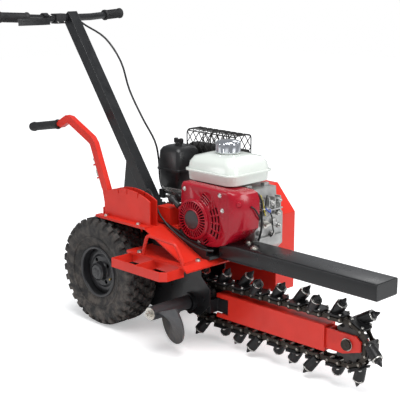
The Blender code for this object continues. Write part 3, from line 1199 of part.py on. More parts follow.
def link():
    """The short link from the lever's tail to a slotted eye on the swing frame's horn."""
    near, far = -33.5 * MM, -27.5 * MM
    horn_end = Vector((SWING_X, SWING_Z + HORN_REACH))
    tail_end = Vector((LINK_X, LINK_Z))
    beyond = (horn_end - tail_end).normalized() * LINK_EYE_RADIUS
    plate = prism(ribbon([tuple(tail_end - beyond), tuple(horn_end)], 20 * MM), near, far)
    lifted = horn_end + Vector((0, LINK_SLOT_LIFT))
    eye_radius = LINK_EYE_RADIUS + LINK_EYE_WALL
    eye = prism(arc(horn_end, eye_radius, 180, 360, 10) + arc(lifted, eye_radius, 0, 180, 10), near, far)
    slot = prism(arc(horn_end, LINK_EYE_RADIUS, 180, 360, 10) + arc(lifted, LINK_EYE_RADIUS, 0, 180, 10),
                 near - SIDE_GAP, far + SIDE_GAP)
    pin = disc((LINK_X, 0, LINK_Z), LINK_PIN_RADIUS, LEVER_LEG_Y - 7 * MM, near + 1 * MM, steps=16)
    return solid("link", BLACK, [plate, eye, pin], [slot], pivot=(LINK_X, 0, LINK_Z))


# ---------------------------------------------------------------- cables

def cables():
    """The throttle cable down the far side of the stem, and the stop cable past the small box."""
    throttle = [(-326, 30, 1005), (-296, 34, 990), (-200, 42, 950), (-130, 52, 873), (-93, 58, 776), (-31, 62, 684),
                (14, 78, 606), (22, 88, 540), (24, 90, 480), (38, 88, 446), (59.2, 86, 441)]
    stop = [(62, -24.4, 452), (100, -34, 466), (140, -64, 476), (171, -82, 474), (193, -85, 447), (204, -86, 428),
            (223, -87, 404), (266, -88, 375), (312, -89, 356), (363, -90, 342), (399, -90, 335), (428, -86, 331),
            (446, -70, 330)]
    for name, route, steps in (("throttle_cable", throttle, 4), ("stop_cable", stop, 2)):
        path = smooth_route([Vector(point) * MM for point in route], steps)
        cable(name, BLACK, path, 3.5 * MM)


# ---------------------------------------------------------------- assembly

def stand_on_origin():
    """Moves the machine so that the middle of its bounding box's bottom face is the origin."""
    bpy.context.view_layer.update()
    graph = bpy.context.evaluated_depsgraph_get()
    corners = []
    for thing in bpy.context.scene.objects:
        if thing.type in ("MESH", "CURVE") and not thing.hide_render:
            whole = thing.evaluated_get(graph)
            corners += [whole.matrix_world @ vertex.co for vertex in whole.to_mesh().vertices]
            whole.to_mesh_clear()
    low = [min(corner[axis] for corner in corners) for axis in range(3)]
    high = [max(corner[axis] for corner in corners) for axis in range(3)]
    MACHINE.location = (-(low[0] + high[0]) / 2, -(low[1] + high[1]) / 2, -low[2])
    bpy.context.view_layer.update()


def build():
    chassis_frame()
    deck_plate()
    fender_plate()
    engine_bed()
    lever_mount_box()
    tool_tray()
    lifting_hoop()
    deck_bolts()
    quadrants()
    chain_guard()
    belt_cover()
    stem()
    handlebar()
    hand_grip("grip_near", -175 * MM, BAR_NEAR_Y)
    hand_grip("grip_far", 158 * MM, BAR_FAR_Y)
    lever_clamp()
    squeeze_lever()
    switch_box()
    boom_tube()
    nose_piece()
    nose_bolt()
    digging_chain()
    sprocket("drive_sprocket", DRIVE_X, DRIVE_Z, DRIVE_PITCH_RADIUS, 10, SHAFT_RADIUS)
    sprocket("nose_sprocket", NOSE_X, NOSE_Z, NOSE_PITCH_RADIUS, 11, NOSE_PIN_RADIUS)
    spoil_auger()
    drive_shaft()
    drive_belt()
    crankcase()
    crankshaft()
    cylinder()
    recoil_shroud()
    recoil_cover()
    starter_grip()
    engine_switch()
    fuel_tank()
    fuel_cap()
    air_cleaner()
    air_cleaner_knob()
    carburettor()
    muffler()
    muffler_guard()
    oil_plug()
    for side_name, side in (("near", -1), ("far", 1)):
        tyre(f"tyre_{side_name}", side)
        rim(f"rim_{side_name}", side)
    axle_frame()
    depth_lever()
    lever_grip()
    latch_rod()
    link()
    cables()
    stand_on_origin()


build()
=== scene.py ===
import json
import math

import bmesh
import bpy
from mathutils import Matrix, Vector

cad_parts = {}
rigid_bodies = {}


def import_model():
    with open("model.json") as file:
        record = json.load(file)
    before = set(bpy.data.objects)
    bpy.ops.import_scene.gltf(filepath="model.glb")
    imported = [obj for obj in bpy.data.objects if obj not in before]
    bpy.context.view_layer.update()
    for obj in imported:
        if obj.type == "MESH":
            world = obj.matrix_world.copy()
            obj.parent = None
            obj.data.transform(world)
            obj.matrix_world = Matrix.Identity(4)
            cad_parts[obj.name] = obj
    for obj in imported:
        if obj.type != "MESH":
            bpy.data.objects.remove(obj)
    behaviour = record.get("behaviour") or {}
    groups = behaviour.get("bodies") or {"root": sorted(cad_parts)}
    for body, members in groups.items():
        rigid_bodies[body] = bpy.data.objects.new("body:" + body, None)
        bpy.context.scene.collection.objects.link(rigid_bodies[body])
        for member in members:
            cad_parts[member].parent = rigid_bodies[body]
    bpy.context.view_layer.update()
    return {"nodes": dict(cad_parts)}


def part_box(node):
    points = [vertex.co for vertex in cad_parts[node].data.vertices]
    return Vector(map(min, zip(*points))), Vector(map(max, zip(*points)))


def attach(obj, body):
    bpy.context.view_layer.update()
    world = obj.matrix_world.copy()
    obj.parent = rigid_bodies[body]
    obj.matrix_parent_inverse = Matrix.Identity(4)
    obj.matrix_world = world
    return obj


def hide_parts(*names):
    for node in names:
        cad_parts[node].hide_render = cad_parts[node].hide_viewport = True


for startup in list(bpy.data.objects):
    bpy.data.objects.remove(startup, do_unlink=True)

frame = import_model()
nodes = frame["nodes"]

# ---- Camera, floor and studio light ----
# A portrait lens from the front left, a little above the handlebar. The floor is a pale sheet that, for the camera
# only, also glows with painted light that grows stronger away from the machine, and the backdrop is white where the
# camera sees it. One big soft box stands above, one in front, one left and one behind.


def put(thing):
    bpy.context.scene.collection.objects.link(thing)
    return thing


def tune(node, *settings):
    for key, value in settings:
        node.inputs[key].default_value = value


camera = put(bpy.data.objects.new("camera", bpy.data.cameras.new("camera")))
camera.data.lens = 88.875
camera.data.sensor_width = 36.0
camera.data.clip_end = 60
camera.location = (2.2031, -2.1685, 1.1885)
camera.rotation_euler = [math.radians(v) for v in (76.8, 0.0, 45.4)]
bpy.context.scene.camera = camera
bpy.context.scene.view_settings.view_transform = "Standard"


def soft_box(name, place, aim, size, watts):
    lamp = bpy.data.lights.new(name, "AREA")
    lamp.shape, lamp.size, lamp.energy = "DISK", size, watts
    held = put(bpy.data.objects.new(name, lamp))
    held.location = place
    held.rotation_euler = (Vector(aim) - Vector(place)).to_track_quat("-Z", "Y").to_euler()


soft_box("key_light", (0.6, -0.6, 3.2), (0, 0, 0.3), 2.2, 78)
soft_box("front_light", (3.2, 0.6, 1.7), (0.1, 0, 0.4), 1.5, 46)
soft_box("left_light", (-1.8, -3.0, 1.3), (0, 0, 0.5), 1.4, 15)
soft_box("back_light", (-0.8, 3.0, 2.4), (0, 0, 0.5), 2.0, 18)

world = bpy.data.worlds.new("studio")
bpy.context.scene.world = world
world.use_nodes = True
sky = world.node_tree
sky.nodes.clear()
sky_out, sky_mix, sky_rays, sky_soft, sky_white = [
    sky.nodes.new("ShaderNode" + kind)
    for kind in ("OutputWorld", "MixShader", "LightPath", "Background", "Background")]
for glow, colour, strength in ((sky_soft, (0.93, 0.96, 1.0, 1), 0.34), (sky_white, (1, 1, 1, 1), 1.0)):
    tune(glow, ("Color", colour), ("Strength", strength))
sky.links.new(sky_rays.outputs["Is Camera Ray"], sky_mix.inputs["Fac"])
sky.links.new(sky_soft.outputs[0], sky_mix.inputs[1])
sky.links.new(sky_white.outputs[0], sky_mix.inputs[2])
sky.links.new(sky_mix.outputs[0], sky_out.inputs["Surface"])

floor_mesh = bpy.data.meshes.new("floor")
floor_mesh.from_pydata([(-9, -9, 0), (9, -9, 0), (9, 9, 0), (-9, 9, 0)], [], [(0, 1, 2, 3)])
floor = put(bpy.data.objects.new("floor", floor_mesh))
floor_look = bpy.data.materials.new("studio_floor")
floor_look.use_nodes = True
floor_tree = floor_look.node_tree
floor_paint = floor_tree.nodes["Principled BSDF"]
tune(floor_paint, ("Roughness", 0.9), ("Base Color", (0.94, 0.94, 0.94, 1)))
# The floor's camera-only glow is painted light: its strength rises from 0.40 near the machine to 0.80 three metres
# out.
floor_painted_glow, floor_place, floor_far, floor_glow_ramp, floor_rays, floor_gain, floor_add = [
    floor_tree.nodes.new("ShaderNode" + kind) for kind in
    ("Emission", "TexCoord", "VectorMath", "MapRange", "LightPath", "MixShader", "AddShader")]
floor_far.operation = "LENGTH"
tune(floor_glow_ramp, (1, 0.9), (2, 3.0), (3, 0.40), (4, 0.80))
for source, target in ((floor_place.outputs["Object"], floor_far.inputs[0]),
                       (floor_far.outputs["Value"], floor_glow_ramp.inputs[0]),
                       (floor_glow_ramp.outputs[0], floor_painted_glow.inputs["Strength"]),
                       (floor_paint.outputs[0], floor_add.inputs[0]),
                       (floor_painted_glow.outputs[0], floor_add.inputs[1]),
                       (floor_rays.outputs["Is Camera Ray"], floor_gain.inputs["Fac"]),
                       (floor_paint.outputs[0], floor_gain.inputs[1]),
                       (floor_add.outputs[0], floor_gain.inputs[2]),
                       (floor_gain.outputs[0], floor_tree.nodes["Material Output"].inputs["Surface"])):
    floor_tree.links.new(source, target)
floor_mesh.materials.append(floor_look)

# ---- Frame, deck, fender, tray bed and covers: red powder coat on steel plate ----
# Welded and folded plate, powder coated orange-red: a slight orange peel, softer gloss on the folds, and
# bare steel showing in specks along the edges. The sheet parts are bolted to the welded frame.


def finish(name, colour, rough, metal=0.0, coat=0.0, vary=0.10, cloud=9.0, grain=420.0, bump=0.12, depth=0.0004,
           edge=0.0014, worn=None, wear=0.35, dust=None, dust_top=0.0, spec=0.5):
    """A procedural finish: clouded colour, uneven gloss, fine grain, rounded and worn edges, and dust low down."""
    look = bpy.data.materials.new(name)
    look.use_nodes = True
    tree = look.node_tree
    link = tree.links.new
    bsdf = tree.nodes["Principled BSDF"]
    tune(bsdf, ("Metallic", metal), ("Coat Weight", coat), ("Coat Roughness", 0.12), ("Specular IOR Level", spec))

    def new(kind):
        return tree.nodes.new("ShaderNode" + kind)

    place = new("TexCoord").outputs["Object"]

    def cloud_of(scale, detail, roughness=0.55):
        made = new("TexNoise")
        tune(made, ("Scale", scale), ("Detail", detail), ("Roughness", roughness))
        link(place, made.inputs["Vector"])
        return made.outputs["Fac"]

    def spread(value, low, high, to_low, to_high):
        made = new("MapRange")
        tune(made, (1, low), (2, high), (3, to_low), (4, to_high))
        link(value, made.inputs[0])
        return made.outputs[0]

    def blend(amount, first, second):
        made = new("Mix")
        made.data_type = "RGBA"
        for slot, colour_in in (("A", first), ("B", second)):
            socket = next(s for s in made.inputs if s.name == slot and s.type == "RGBA")
            if isinstance(colour_in, tuple):
                socket.default_value = (*colour_in, 1)
            else:
                link(colour_in, socket)
        link(amount, made.inputs[0])
        return next(s for s in made.outputs if s.type == "RGBA")

    def times(first, second):
        made = new("Math")
        made.operation = "MULTIPLY"
        link(first, made.inputs[0])
        link(second, made.inputs[1])
        return made.outputs[0]

    rounded = new("Bevel")
    rounded.samples = 4
    tune(rounded, ("Radius", edge))
    clouds = cloud_of(cloud, 5)
    dark = tuple(c * (1 - vary) for c in colour)
    light = tuple(min(1, c * (1 + vary)) for c in colour)
    shade = blend(spread(clouds, 0.3, 0.7, 0, 1), dark, light)
    gloss = spread(cloud_of(cloud * 3.7, 4), 0.3, 0.7, rough * 0.8, min(1, rough * 1.25))
    if worn:
        facing = new("VectorMath")
        facing.operation = "DOT_PRODUCT"
        link(rounded.outputs[0], facing.inputs[0])
        link(new("NewGeometry").outputs["Normal"], facing.inputs[1])
        edge_mask = spread(facing.outputs["Value"], 0.97, 0.80, 0, 1)
        chips = spread(cloud_of(160, 6, 0.7), 0.66 - 0.2 * wear, 0.72, 0, 1)
        shade = blend(times(edge_mask, chips), shade, worn)
    if dust:
        height = new("SeparateXYZ")
        link(new("NewGeometry").outputs["Position"], height.inputs[0])
        low_down = spread(height.outputs["Z"], 0.0, dust_top, 0.75, 0.0)
        patch = spread(cloud_of(34, 7, 0.65), 0.42, 0.64, 0, 1)
        shade = blend(times(low_down, patch), shade, dust)
    link(shade, bsdf.inputs["Base Color"])
    link(gloss, bsdf.inputs["Roughness"])
    relief = new("Bump")
    tune(relief, ("Strength", bump), ("Distance", depth))
    link(cloud_of(grain, 3), relief.inputs["Height"])
    link(rounded.outputs[0], relief.inputs["Normal"])
    link(relief.outputs[0], bsdf.inputs["Normal"])
    return look


def dress(look, *names, angle=32):
    """Gives carried-over CAD nodes their finish, with round faces smooth and corners crisp."""
    for name in names:
        node = nodes[name]
        node.data.materials.clear()
        node.data.materials.append(look)
        if "custom_normal" in node.data.attributes:
            node.data.attributes.remove(node.data.attributes["custom_normal"])
        node.data.polygons.foreach_set("use_smooth", [True] * len(node.data.polygons))
        weld = node.modifiers.new("weld", "WELD")
        weld.merge_threshold = 0.00001
        split = node.modifiers.new("crisp", "EDGE_SPLIT")
        split.split_angle = math.radians(angle)


red_coat = finish("red_powder_coat", (0.70, 0.026, 0.013), 0.38, coat=0.10, vary=0.08, grain=700, bump=0.06,
                  worn=(0.20, 0.16, 0.15), spec=0.38)
dress(red_coat, "boom_tube", "deck_plate", "fender_plate", "belt_cover", "lever_mount_box")

# ---- Wheels: turf tyres on dished steel rims ----
# Low-pressure rubber tyres with rows of staggered lugs and a serrated shoulder, seated on pressed and welded
# rims that are painted black. A hub cap closes each axle end, and a brass valve comes through the dish.


def shape_of(points, faces, move=Vector(), turn=None):
    """A shape as (points, faces), turned and then moved."""
    turn = turn or Matrix.Identity(3)
    return [turn @ Vector(p) + move for p in points], faces


def lathe(profile, centre, steps, axis="Y"):
    """A profile of (radius, place) points turned about an axis. A radius of 0 closes on the axis."""
    points, faces = [], []
    across = {"Y": (Vector((1, 0, 0)), Vector((0, 0, 1)), Vector((0, 1, 0))),
              "Z": (Vector((0, 1, 0)), Vector((1, 0, 0)), Vector((0, 0, 1))),
              "X": (Vector((0, 0, 1)), Vector((0, 1, 0)), Vector((1, 0, 0)))}[axis]
    for step in range(steps):
        angle = 2 * math.pi * step / steps
        for radius, along in profile:
            points.append(Vector(centre) + across[0] * radius * math.cos(angle) + across[1] * radius * math.sin(angle)
                          + across[2] * along)
    rows = len(profile)
    for step in range(steps):
        here, there = step * rows, (step + 1) % steps * rows
        for row in range(rows - 1):
            faces.append((here + row, there + row, there + row + 1, here + row + 1))
    return points, faces


def pipe(path, radii, sides=10):
    """A round bar along a path, with a radius at each point and closed ends."""
    points, faces, side = [], [], None
    for number, point in enumerate(path):
        ahead = path[min(number + 1, len(path) - 1)] - path[max(number - 1, 0)]
        ahead.normalize()
        side = ahead.orthogonal() if side is None else side - ahead * side.dot(ahead)
        side.normalize()
        up = ahead.cross(side)
        for corner in range(sides):
            angle = 2 * math.pi * corner / sides
            points.append(point + (side * math.cos(angle) + up * math.sin(angle)) * radii[number])
    for number in range(len(path) - 1):
        for corner in range(sides):
            here, beside = number * sides + corner, number * sides + (corner + 1) % sides
            faces.append((here, beside, beside + sides, here + sides))
    faces += [tuple(range(sides))[::-1], tuple(range(len(points) - sides, len(points)))]
    return points, faces


def slab(outline, start, end, axis=1):
    """A flat plate: an outline in the two other axes, thick from start to end along one axis."""
    others = [k for k in range(3) if k != axis]
    points = []
    for place in (start, end):
        for first, second in outline:
            point = Vector()
            point[others[0]], point[others[1]], point[axis] = first, second, place
            points.append(point)
    count = len(outline)
    faces = [tuple(range(count)), tuple(range(count, 2 * count))[::-1]]
    faces += [(k, (k + 1) % count, (k + 1) % count + count, k + count) for k in range(count)]
    return points, faces


def block(low, high):
    return slab([(low[0], low[2]), (high[0], low[2]), (high[0], high[2]), (low[0], high[2])], low[1], high[1])


def ring_of(radius, count, start=0.0):
    step = 2 * math.pi / count
    return [(radius * math.cos(start + k * step), radius * math.sin(start + k * step)) for k in range(count)]


def piece(name, look, shapes, body, bevel=0.0, angle=32):
    """Joins shapes into one piece that rides on a body, smooth by angle, with its edges broken if asked."""
    joined = bmesh.new()
    for points, faces in shapes:
        corners = [joined.verts.new(p) for p in points]
        for face in faces:
            if len(set(face)) > 2:
                joined.faces.new([corners[k] for k in face])
    bmesh.ops.remove_doubles(joined, verts=joined.verts, dist=0.000005)
    bmesh.ops.recalc_face_normals(joined, faces=joined.faces)
    mesh = bpy.data.meshes.new(name)
    joined.to_mesh(mesh)
    joined.free()
    mesh.polygons.foreach_set("use_smooth", [True] * len(mesh.polygons))
    mesh.set_sharp_from_angle(angle=math.radians(angle))
    mesh.materials.append(look)
    made = put(bpy.data.objects.new(name, mesh))
    if bevel:
        broken = made.modifiers.new("bevel", "BEVEL")
        broken.width, broken.segments, broken.limit_method = bevel, 2, "ANGLE"
        broken.harden_normals = True
    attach(made, body)
    return made


def corners_of(name):
    low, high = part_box(name)
    return Vector(low), Vector(high)


def middle_of(name):
    low, high = corners_of(name)
    return (low + high) / 2


tyre_look = finish("tyre_rubber", (0.030, 0.029, 0.029), 0.72, vary=0.25, cloud=14, grain=900, bump=0.35,
                   dust=(0.17, 0.145, 0.125), dust_top=0.62, edge=0.002, spec=0.35)
rim_look = finish("rim_black", (0.022, 0.022, 0.024), 0.36, coat=0.2, vary=0.12, worn=(0.13, 0.12, 0.11), grain=600)
brass = finish("valve_brass", (0.52, 0.36, 0.13), 0.34, metal=1.0, vary=0.12, cloud=60, grain=1500)


def lug(centre, radius, spin, place, reach, half_turn, half_width, skew, low, drop=0.0):
    """One tread lug: tapered, skewed across the tread and standing on the carcass."""
    points = []
    for level, shrink in ((low, 1.0), (reach, 0.80)):
        for turn_side, wide_side in ((-1, -1), (1, -1), (1, 1), (-1, 1)):
            angle = spin + (turn_side * half_turn * shrink + wide_side * skew) / radius
            high = level - (drop if wide_side * place > 0 else 0.0)
            y = place + wide_side * half_width * shrink
            points.append(centre + Vector((high * math.cos(angle), y, high * math.sin(angle))))
    faces = [(0, 1, 2, 3), (7, 6, 5, 4), (0, 4, 5, 1), (1, 5, 6, 2), (2, 6, 7, 3), (3, 7, 4, 0)]
    return points, faces


lugs_round = 30
for wheel, outer_side in (("near", -1), ("far", 1)):
    hub = middle_of("tyre_" + wheel)
    low, high = corners_of("tyre_" + wheel)
    half, outer = (high.y - low.y) / 2, (high.z - low.z) / 2
    rim_low, rim_high = corners_of("rim_" + wheel)
    inner = (rim_high.z - rim_low.z) / 2
    base = outer - 0.011
    wall = [(inner + 0.0008, 0.20), (inner + 0.004, 0.22), (inner + 0.012, 0.19), (inner + 0.030, 0.045),
            (0.137, 0.004), (0.150, 0.004), (0.158, 0.02), (0.165, 0.09), (base - 0.003, 0.20), (base, 0.42)]
    profile = [(r, -half + share * half) for r, share in wall] + [(r, half - share * half) for r, share in wall[::-1]]
    ribs = [(r, -half + share * half) for r, share in ((0.118, 0.012), (0.121, -0.004), (0.124, 0.010))]
    shapes = [lathe(profile + profile[:1], hub, 96)]
    shapes += [lathe([(r, side * y) for r, y in ribs], hub, 96) for side in (1, -1)]
    step = 2 * math.pi / lugs_round
    pitch = step * outer
    for number in range(lugs_round):
        spin = number * step
        for row, share in enumerate((-0.56, -0.19, 0.19, 0.56)):
            shift = step / 2 if row % 2 else 0.0
            skew = 0.0035 if row in (0, 3) else -0.0035
            shapes.append(lug(hub, outer, spin + shift, share * half, outer, 0.31 * pitch, 0.150 * half,
                              skew, base - 0.004))
        for side in (-1, 1):
            shift = 0.0 if side > 0 else step / 2
            shapes.append(lug(hub, outer, spin + shift, side * 0.845 * half, outer - 0.0015, 0.33 * pitch,
                              0.125 * half, 0.0, base - 0.012, 0.009))
            shapes.append(lug(hub, outer, spin + shift, side * 0.93 * half, outer - 0.011, 0.25 * pitch,
                              0.055 * half, 0.0, 0.156, 0.006))
    tyre = piece("tyre_tread_" + wheel, tyre_look, shapes, "wheel_" + wheel, angle=28)
    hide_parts("tyre_" + wheel)

    face = rim_low.y if outer_side < 0 else rim_high.y
    dress(rim_look, "rim_" + wheel, angle=40)
    lip = [(inner - 0.004 + 0.006 * math.cos(a), outer_side * 0.006 * math.sin(a)) for a in
           [2 * math.pi * k / 10 for k in range(11)]]
    edge_y = hub.y + outer_side * (half - 0.0135)
    shapes = [lathe(lip, (hub.x, edge_y, hub.z), 72)]
    well = [(0.0785, -0.033), (0.0770, -0.031), (0.066, -0.0275), (0.058, -0.0285), (0.050, -0.0235),
            (0.034, -0.0235), (0.0315, -0.0200), (0.0305, -0.0060), (0.0280, -0.0035)]
    shapes.append(lathe([(r, outer_side * (y + 0.0015)) for r, y in well], (hub.x, face, hub.z), 64))
    for x, z in ring_of(0.042, 4, 0.6):
        shapes.append(lathe([(0.0, 0.0), (0.0075, 0.0), (0.0075, 0.0055), (0.0, 0.0055)],
                            (hub.x + x, face - outer_side * 0.022, hub.z + z), 6))
    piece("rim_dish_" + wheel, rim_look, shapes, "wheel_" + wheel, angle=30)
    cap = [(0.0, 0.0022), (0.008, 0.0020), (0.0145, 0.0008), (0.0175, -0.0016), (0.0186, -0.0075), (0.0200, -0.009)]
    piece("hub_cap_" + wheel, finish("hub_cap_" + wheel, (0.045, 0.045, 0.047), 0.3, metal=0.4, worn=(0.3, 0.3, 0.3)),
          [lathe([(r, outer_side * y) for r, y in cap], (hub.x, face, hub.z), 40)], "wheel_" + wheel)
    stem_at = Vector((hub.x + 0.066, face - outer_side * 0.028, hub.z - 0.012))
    out = Vector((0.0, outer_side, 0.0))
    piece("tyre_valve_" + wheel, brass,
          [pipe([stem_at, stem_at + out * 0.011], [0.0048, 0.0036]),
           pipe([stem_at + out * 0.011, stem_at + out * 0.019, stem_at + out * 0.0195, stem_at + out * 0.0255],
                [0.0026, 0.0026, 0.0034, 0.0030])], "wheel_" + wheel)

# ---- Digging chain, sprockets and nose ----
# A heavy roller chain of forged side plates on riveted pins. Every second link carries a welded block with a
# leaning conical pick in a ground steel collar, in three rows. The sprockets and nose are flame-cut steel.
chain_steel = finish("chain_steel", (0.040, 0.034, 0.028), 0.40, metal=0.75, vary=0.35, cloud=45, grain=900, bump=0.3,
                     worn=(0.42, 0.39, 0.36), wear=0.9, edge=0.0012)
pick_black = finish("pick_black", (0.014, 0.014, 0.015), 0.40, metal=0.3, vary=0.3, cloud=60, grain=800, bump=0.3,
                    worn=(0.34, 0.33, 0.32), wear=0.7)
pick_collar = finish("pick_collar", (0.60, 0.59, 0.56), 0.27, metal=1.0, vary=0.2, cloud=120, grain=1600, bump=0.15)
roller_steel = finish("roller_steel", (0.30, 0.28, 0.25), 0.34, metal=1.0, vary=0.3, cloud=70, grain=1200)
drive_at, nose_at = middle_of("drive_shaft"), middle_of("nose_bolt")
chain_y = middle_of("boom_tube").y
drive_at.y = nose_at.y = chain_y
drive_pitch, nose_pitch = 0.060, 0.066
span = nose_at - drive_at
run = math.sqrt(span.length ** 2 - (nose_pitch - drive_pitch) ** 2)
lean = math.atan2(nose_pitch - drive_pitch, run)
slope = math.atan2(span.z, span.x)
nose_arc, drive_arc = nose_pitch * (math.pi + 2 * lean), drive_pitch * (math.pi - 2 * lean)
chain_total = 2 * run + nose_arc + drive_arc


def on_chain(distance):
    """A place on the chain's pitch line, and the direction that points outward there."""
    distance %= chain_total
    top, bottom = math.pi / 2 + slope + lean, -math.pi / 2 + slope - lean
    along, centre, pitch = 0.0, drive_at, drive_pitch
    if distance < run:
        angle, along = top, distance
    elif distance < run + nose_arc:
        centre, pitch, angle = nose_at, nose_pitch, top - (distance - run) / nose_pitch
    elif distance < 2 * run + nose_arc:
        centre, pitch, angle, along = nose_at, nose_pitch, bottom, distance - run - nose_arc
    else:
        angle = bottom - (distance - 2 * run - nose_arc) / drive_pitch
    out = Vector((math.cos(angle), 0, math.sin(angle)))
    return centre + out * pitch + Vector((out.z, 0, -out.x)) * along, out


def beside_chain(place_a, place_b, outward):
    """A turn and a place for a shape drawn with X along the chain and Z outward."""
    ahead = (place_b - place_a).normalized()
    up = Vector((-ahead.z, 0, ahead.x))
    if up.dot(outward) < 0:
        up = -up
    turn = Matrix((ahead, Vector((0, 1, 0)), up)).transposed()
    return turn, (place_a + place_b) / 2


link_count = 42
pitch = chain_total / link_count
tooth_phase = 0.3
# The rollers are thinner than real ones: the links stay put while the sprockets turn past them.
pin_radius, roller_radius = 0.0040, 0.0050
pick_spread = 0.028
plates, rollers, holders, picks, collars = [], [], [], [], []


def link_outline(length, tall, waist):
    half, points = length / 2, []
    for side in (1, -1):
        for k in range(7):
            a = math.pi / 2 - math.pi * k / 6
            points.append((side * (half + tall * math.cos(a)), side * tall * math.sin(a)))
        points.append((side * half * 0.35, -side * waist))
        points.append((-side * half * 0.35, -side * waist))
    return points


for number in range(link_count):
    first = (number - 0.5) * pitch + 2 * tooth_phase * pitch
    start, out = on_chain(first)
    end, out_end = on_chain(first + pitch)
    turn, centre = beside_chain(start, end, out + out_end)
    outside = number % 2 == 0
    near_y, far_y = (0.0172, 0.0208) if outside else (0.0132, 0.0168)
    outline = link_outline((end - start).length, 0.0088, 0.0070)
    for side in (-1, 1):
        plates.append(shape_of(*slab(outline, side * near_y, side * far_y), move=centre, turn=turn))
    for radius, reach, sides in ((roller_radius, 0.0130, 14), (pin_radius, 0.0222, 10)):
        bar = [start - Vector((0, reach, 0)), start + Vector((0, reach, 0))]
        rollers.append(pipe(bar, [radius, radius], sides))
    if not outside:
        continue
    lean_y = (-1, 0, 1)[number // 2 % 3] * pick_spread
    base = [(-0.0168, 0.0025), (0.0168, 0.0025), (0.0168, 0.0105), (0.0110, 0.0148), (-0.0130, 0.0148),
            (-0.0168, 0.0110)]
    holders.append(shape_of(*slab(base, -0.0208, 0.0208), move=centre, turn=turn))
    foot_plate = [(-0.0290, -0.0200), (-0.0230, -0.0262), (0.0200, -0.0262), (0.0300, -0.0150), (0.0300, 0.0150),
                  (0.0200, 0.0262), (-0.0230, 0.0262), (-0.0290, 0.0200)]
    holders.append(shape_of(*slab(foot_plate, 0.0110, 0.0152, axis=2), move=centre, turn=turn))
    fin = [(-0.0240, 0.0140), (-0.0020, 0.0140), (0.0060, 0.0400), (-0.0040, 0.0330)]
    holders.append(shape_of(*slab(fin, lean_y * 0.6 - 0.0035, lean_y * 0.6 + 0.0035), move=centre, turn=turn))
    foot, tip = Vector((-0.014, lean_y * 0.4, 0.008)), Vector((0.030, lean_y, 0.0688))
    holder_line = [(0.0, 0.0150), (0.25, 0.0166), (0.48, 0.0172), (0.56, 0.0172), (0.575, 0.0160)]
    pick_line = [(0.57, 0.0105), (0.66, 0.0120), (0.70, 0.0112), (0.72, 0.0082), (0.80, 0.0060), (0.88, 0.0032),
                 (0.92, 0.0010)]
    collar_line = [(0.572, 0.0130), (0.578, 0.0172), (0.618, 0.0172), (0.626, 0.0130)]
    head_line = [(0.0048, 0.0150), (0.0048, 0.0182), (0.0036, 0.0190), (0.0, 0.0190)]
    for x, y in ((-0.020, -0.0195), (-0.020, 0.0195), (0.020, -0.0195), (0.020, 0.0195)):
        collars.append(shape_of(*lathe(head_line, (x, y, 0), 6, "Z"), move=centre, turn=turn))
    for line, group in ((holder_line, holders), (pick_line, picks), (collar_line, collars)):
        path = [turn @ foot.lerp(tip, share) + centre for share, radius in line]
        group.append(pipe(path, [radius for share, radius in line], 16))
links_piece = piece("chain_plates", chain_steel, plates, "machine", bevel=0.0005)
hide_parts("digging_chain")
piece("chain_rollers", roller_steel, rollers, "machine")
piece("pick_holders", pick_black, holders, "machine", bevel=0.0007)
piece("conical_picks", pick_black, picks, "machine")
piece("pick_collars", pick_collar, collars, "machine")
sprocket_steel = finish("sprocket_steel", (0.055, 0.052, 0.050), 0.45, metal=0.7, vary=0.3, cloud=30,
                        worn=(0.45, 0.42, 0.38), wear=0.8)
dress(sprocket_steel, "drive_sprocket", "nose_sprocket", "drive_shaft")
nose_red = finish("nose_red", (0.66, 0.024, 0.013), 0.40, coat=0.08, vary=0.12, cloud=14, grain=600, bump=0.12,
                  worn=(0.25, 0.20, 0.18), wear=0.8, spec=0.38)
dress(nose_red, "nose_piece")
zinc = finish("zinc_plate", (0.62, 0.60, 0.55), 0.30, metal=1.0, vary=0.16, cloud=70, grain=1400, bump=0.15,
              dust=(0.33, 0.26, 0.16), dust_top=0.2)
head, head_y = middle_of("nose_bolt"), corners_of("nose_bolt")[0].y
dress(chain_steel, "nose_bolt")
washer_line = [(0.0166, 0.0), (0.0188, 0.0), (0.0188, 0.0016), (0.0180, 0.0022), (0.0166, 0.0022)]
piece("nose_washer", zinc, [lathe(washer_line, (head.x, head_y + 0.0062, head.z), 40)], "nose_carriage")
head_line = [(0.0, -0.0014), (0.0050, -0.0014), (0.0056, 0.0002), (0.0110, 0.0004), (0.0140, 0.0001),
             (0.0158, -0.0002), (0.0164, 0.0010), (0.0164, 0.0020)]
piece("nose_head", chain_steel, [lathe(head_line, (head.x, head_y, head.z), 40)], "nose_carriage")
dress(zinc, "auger_bolt", "deck_bolt_1", "deck_bolt_2", "guard_bolt_1", "guard_bolt_2", "quadrant_bolt_1",
      "quadrant_bolt_2", "link", "latch_rod")

# ---- Spoil auger ----
# A short pipe on the end of the drive shaft with one helical flight of thick plate, fully welded and painted
# dark grey, polished and scuffed by soil towards its rim.
auger_look = finish("auger_grey", (0.068, 0.070, 0.074), 0.40, metal=0.45, coat=0.1, vary=0.22, cloud=12, grain=500,
                    bump=0.18, worn=(0.45, 0.42, 0.38), wear=0.8, dust=(0.20, 0.16, 0.12), dust_top=0.12)
dress(auger_look, "spoil_auger", angle=40)

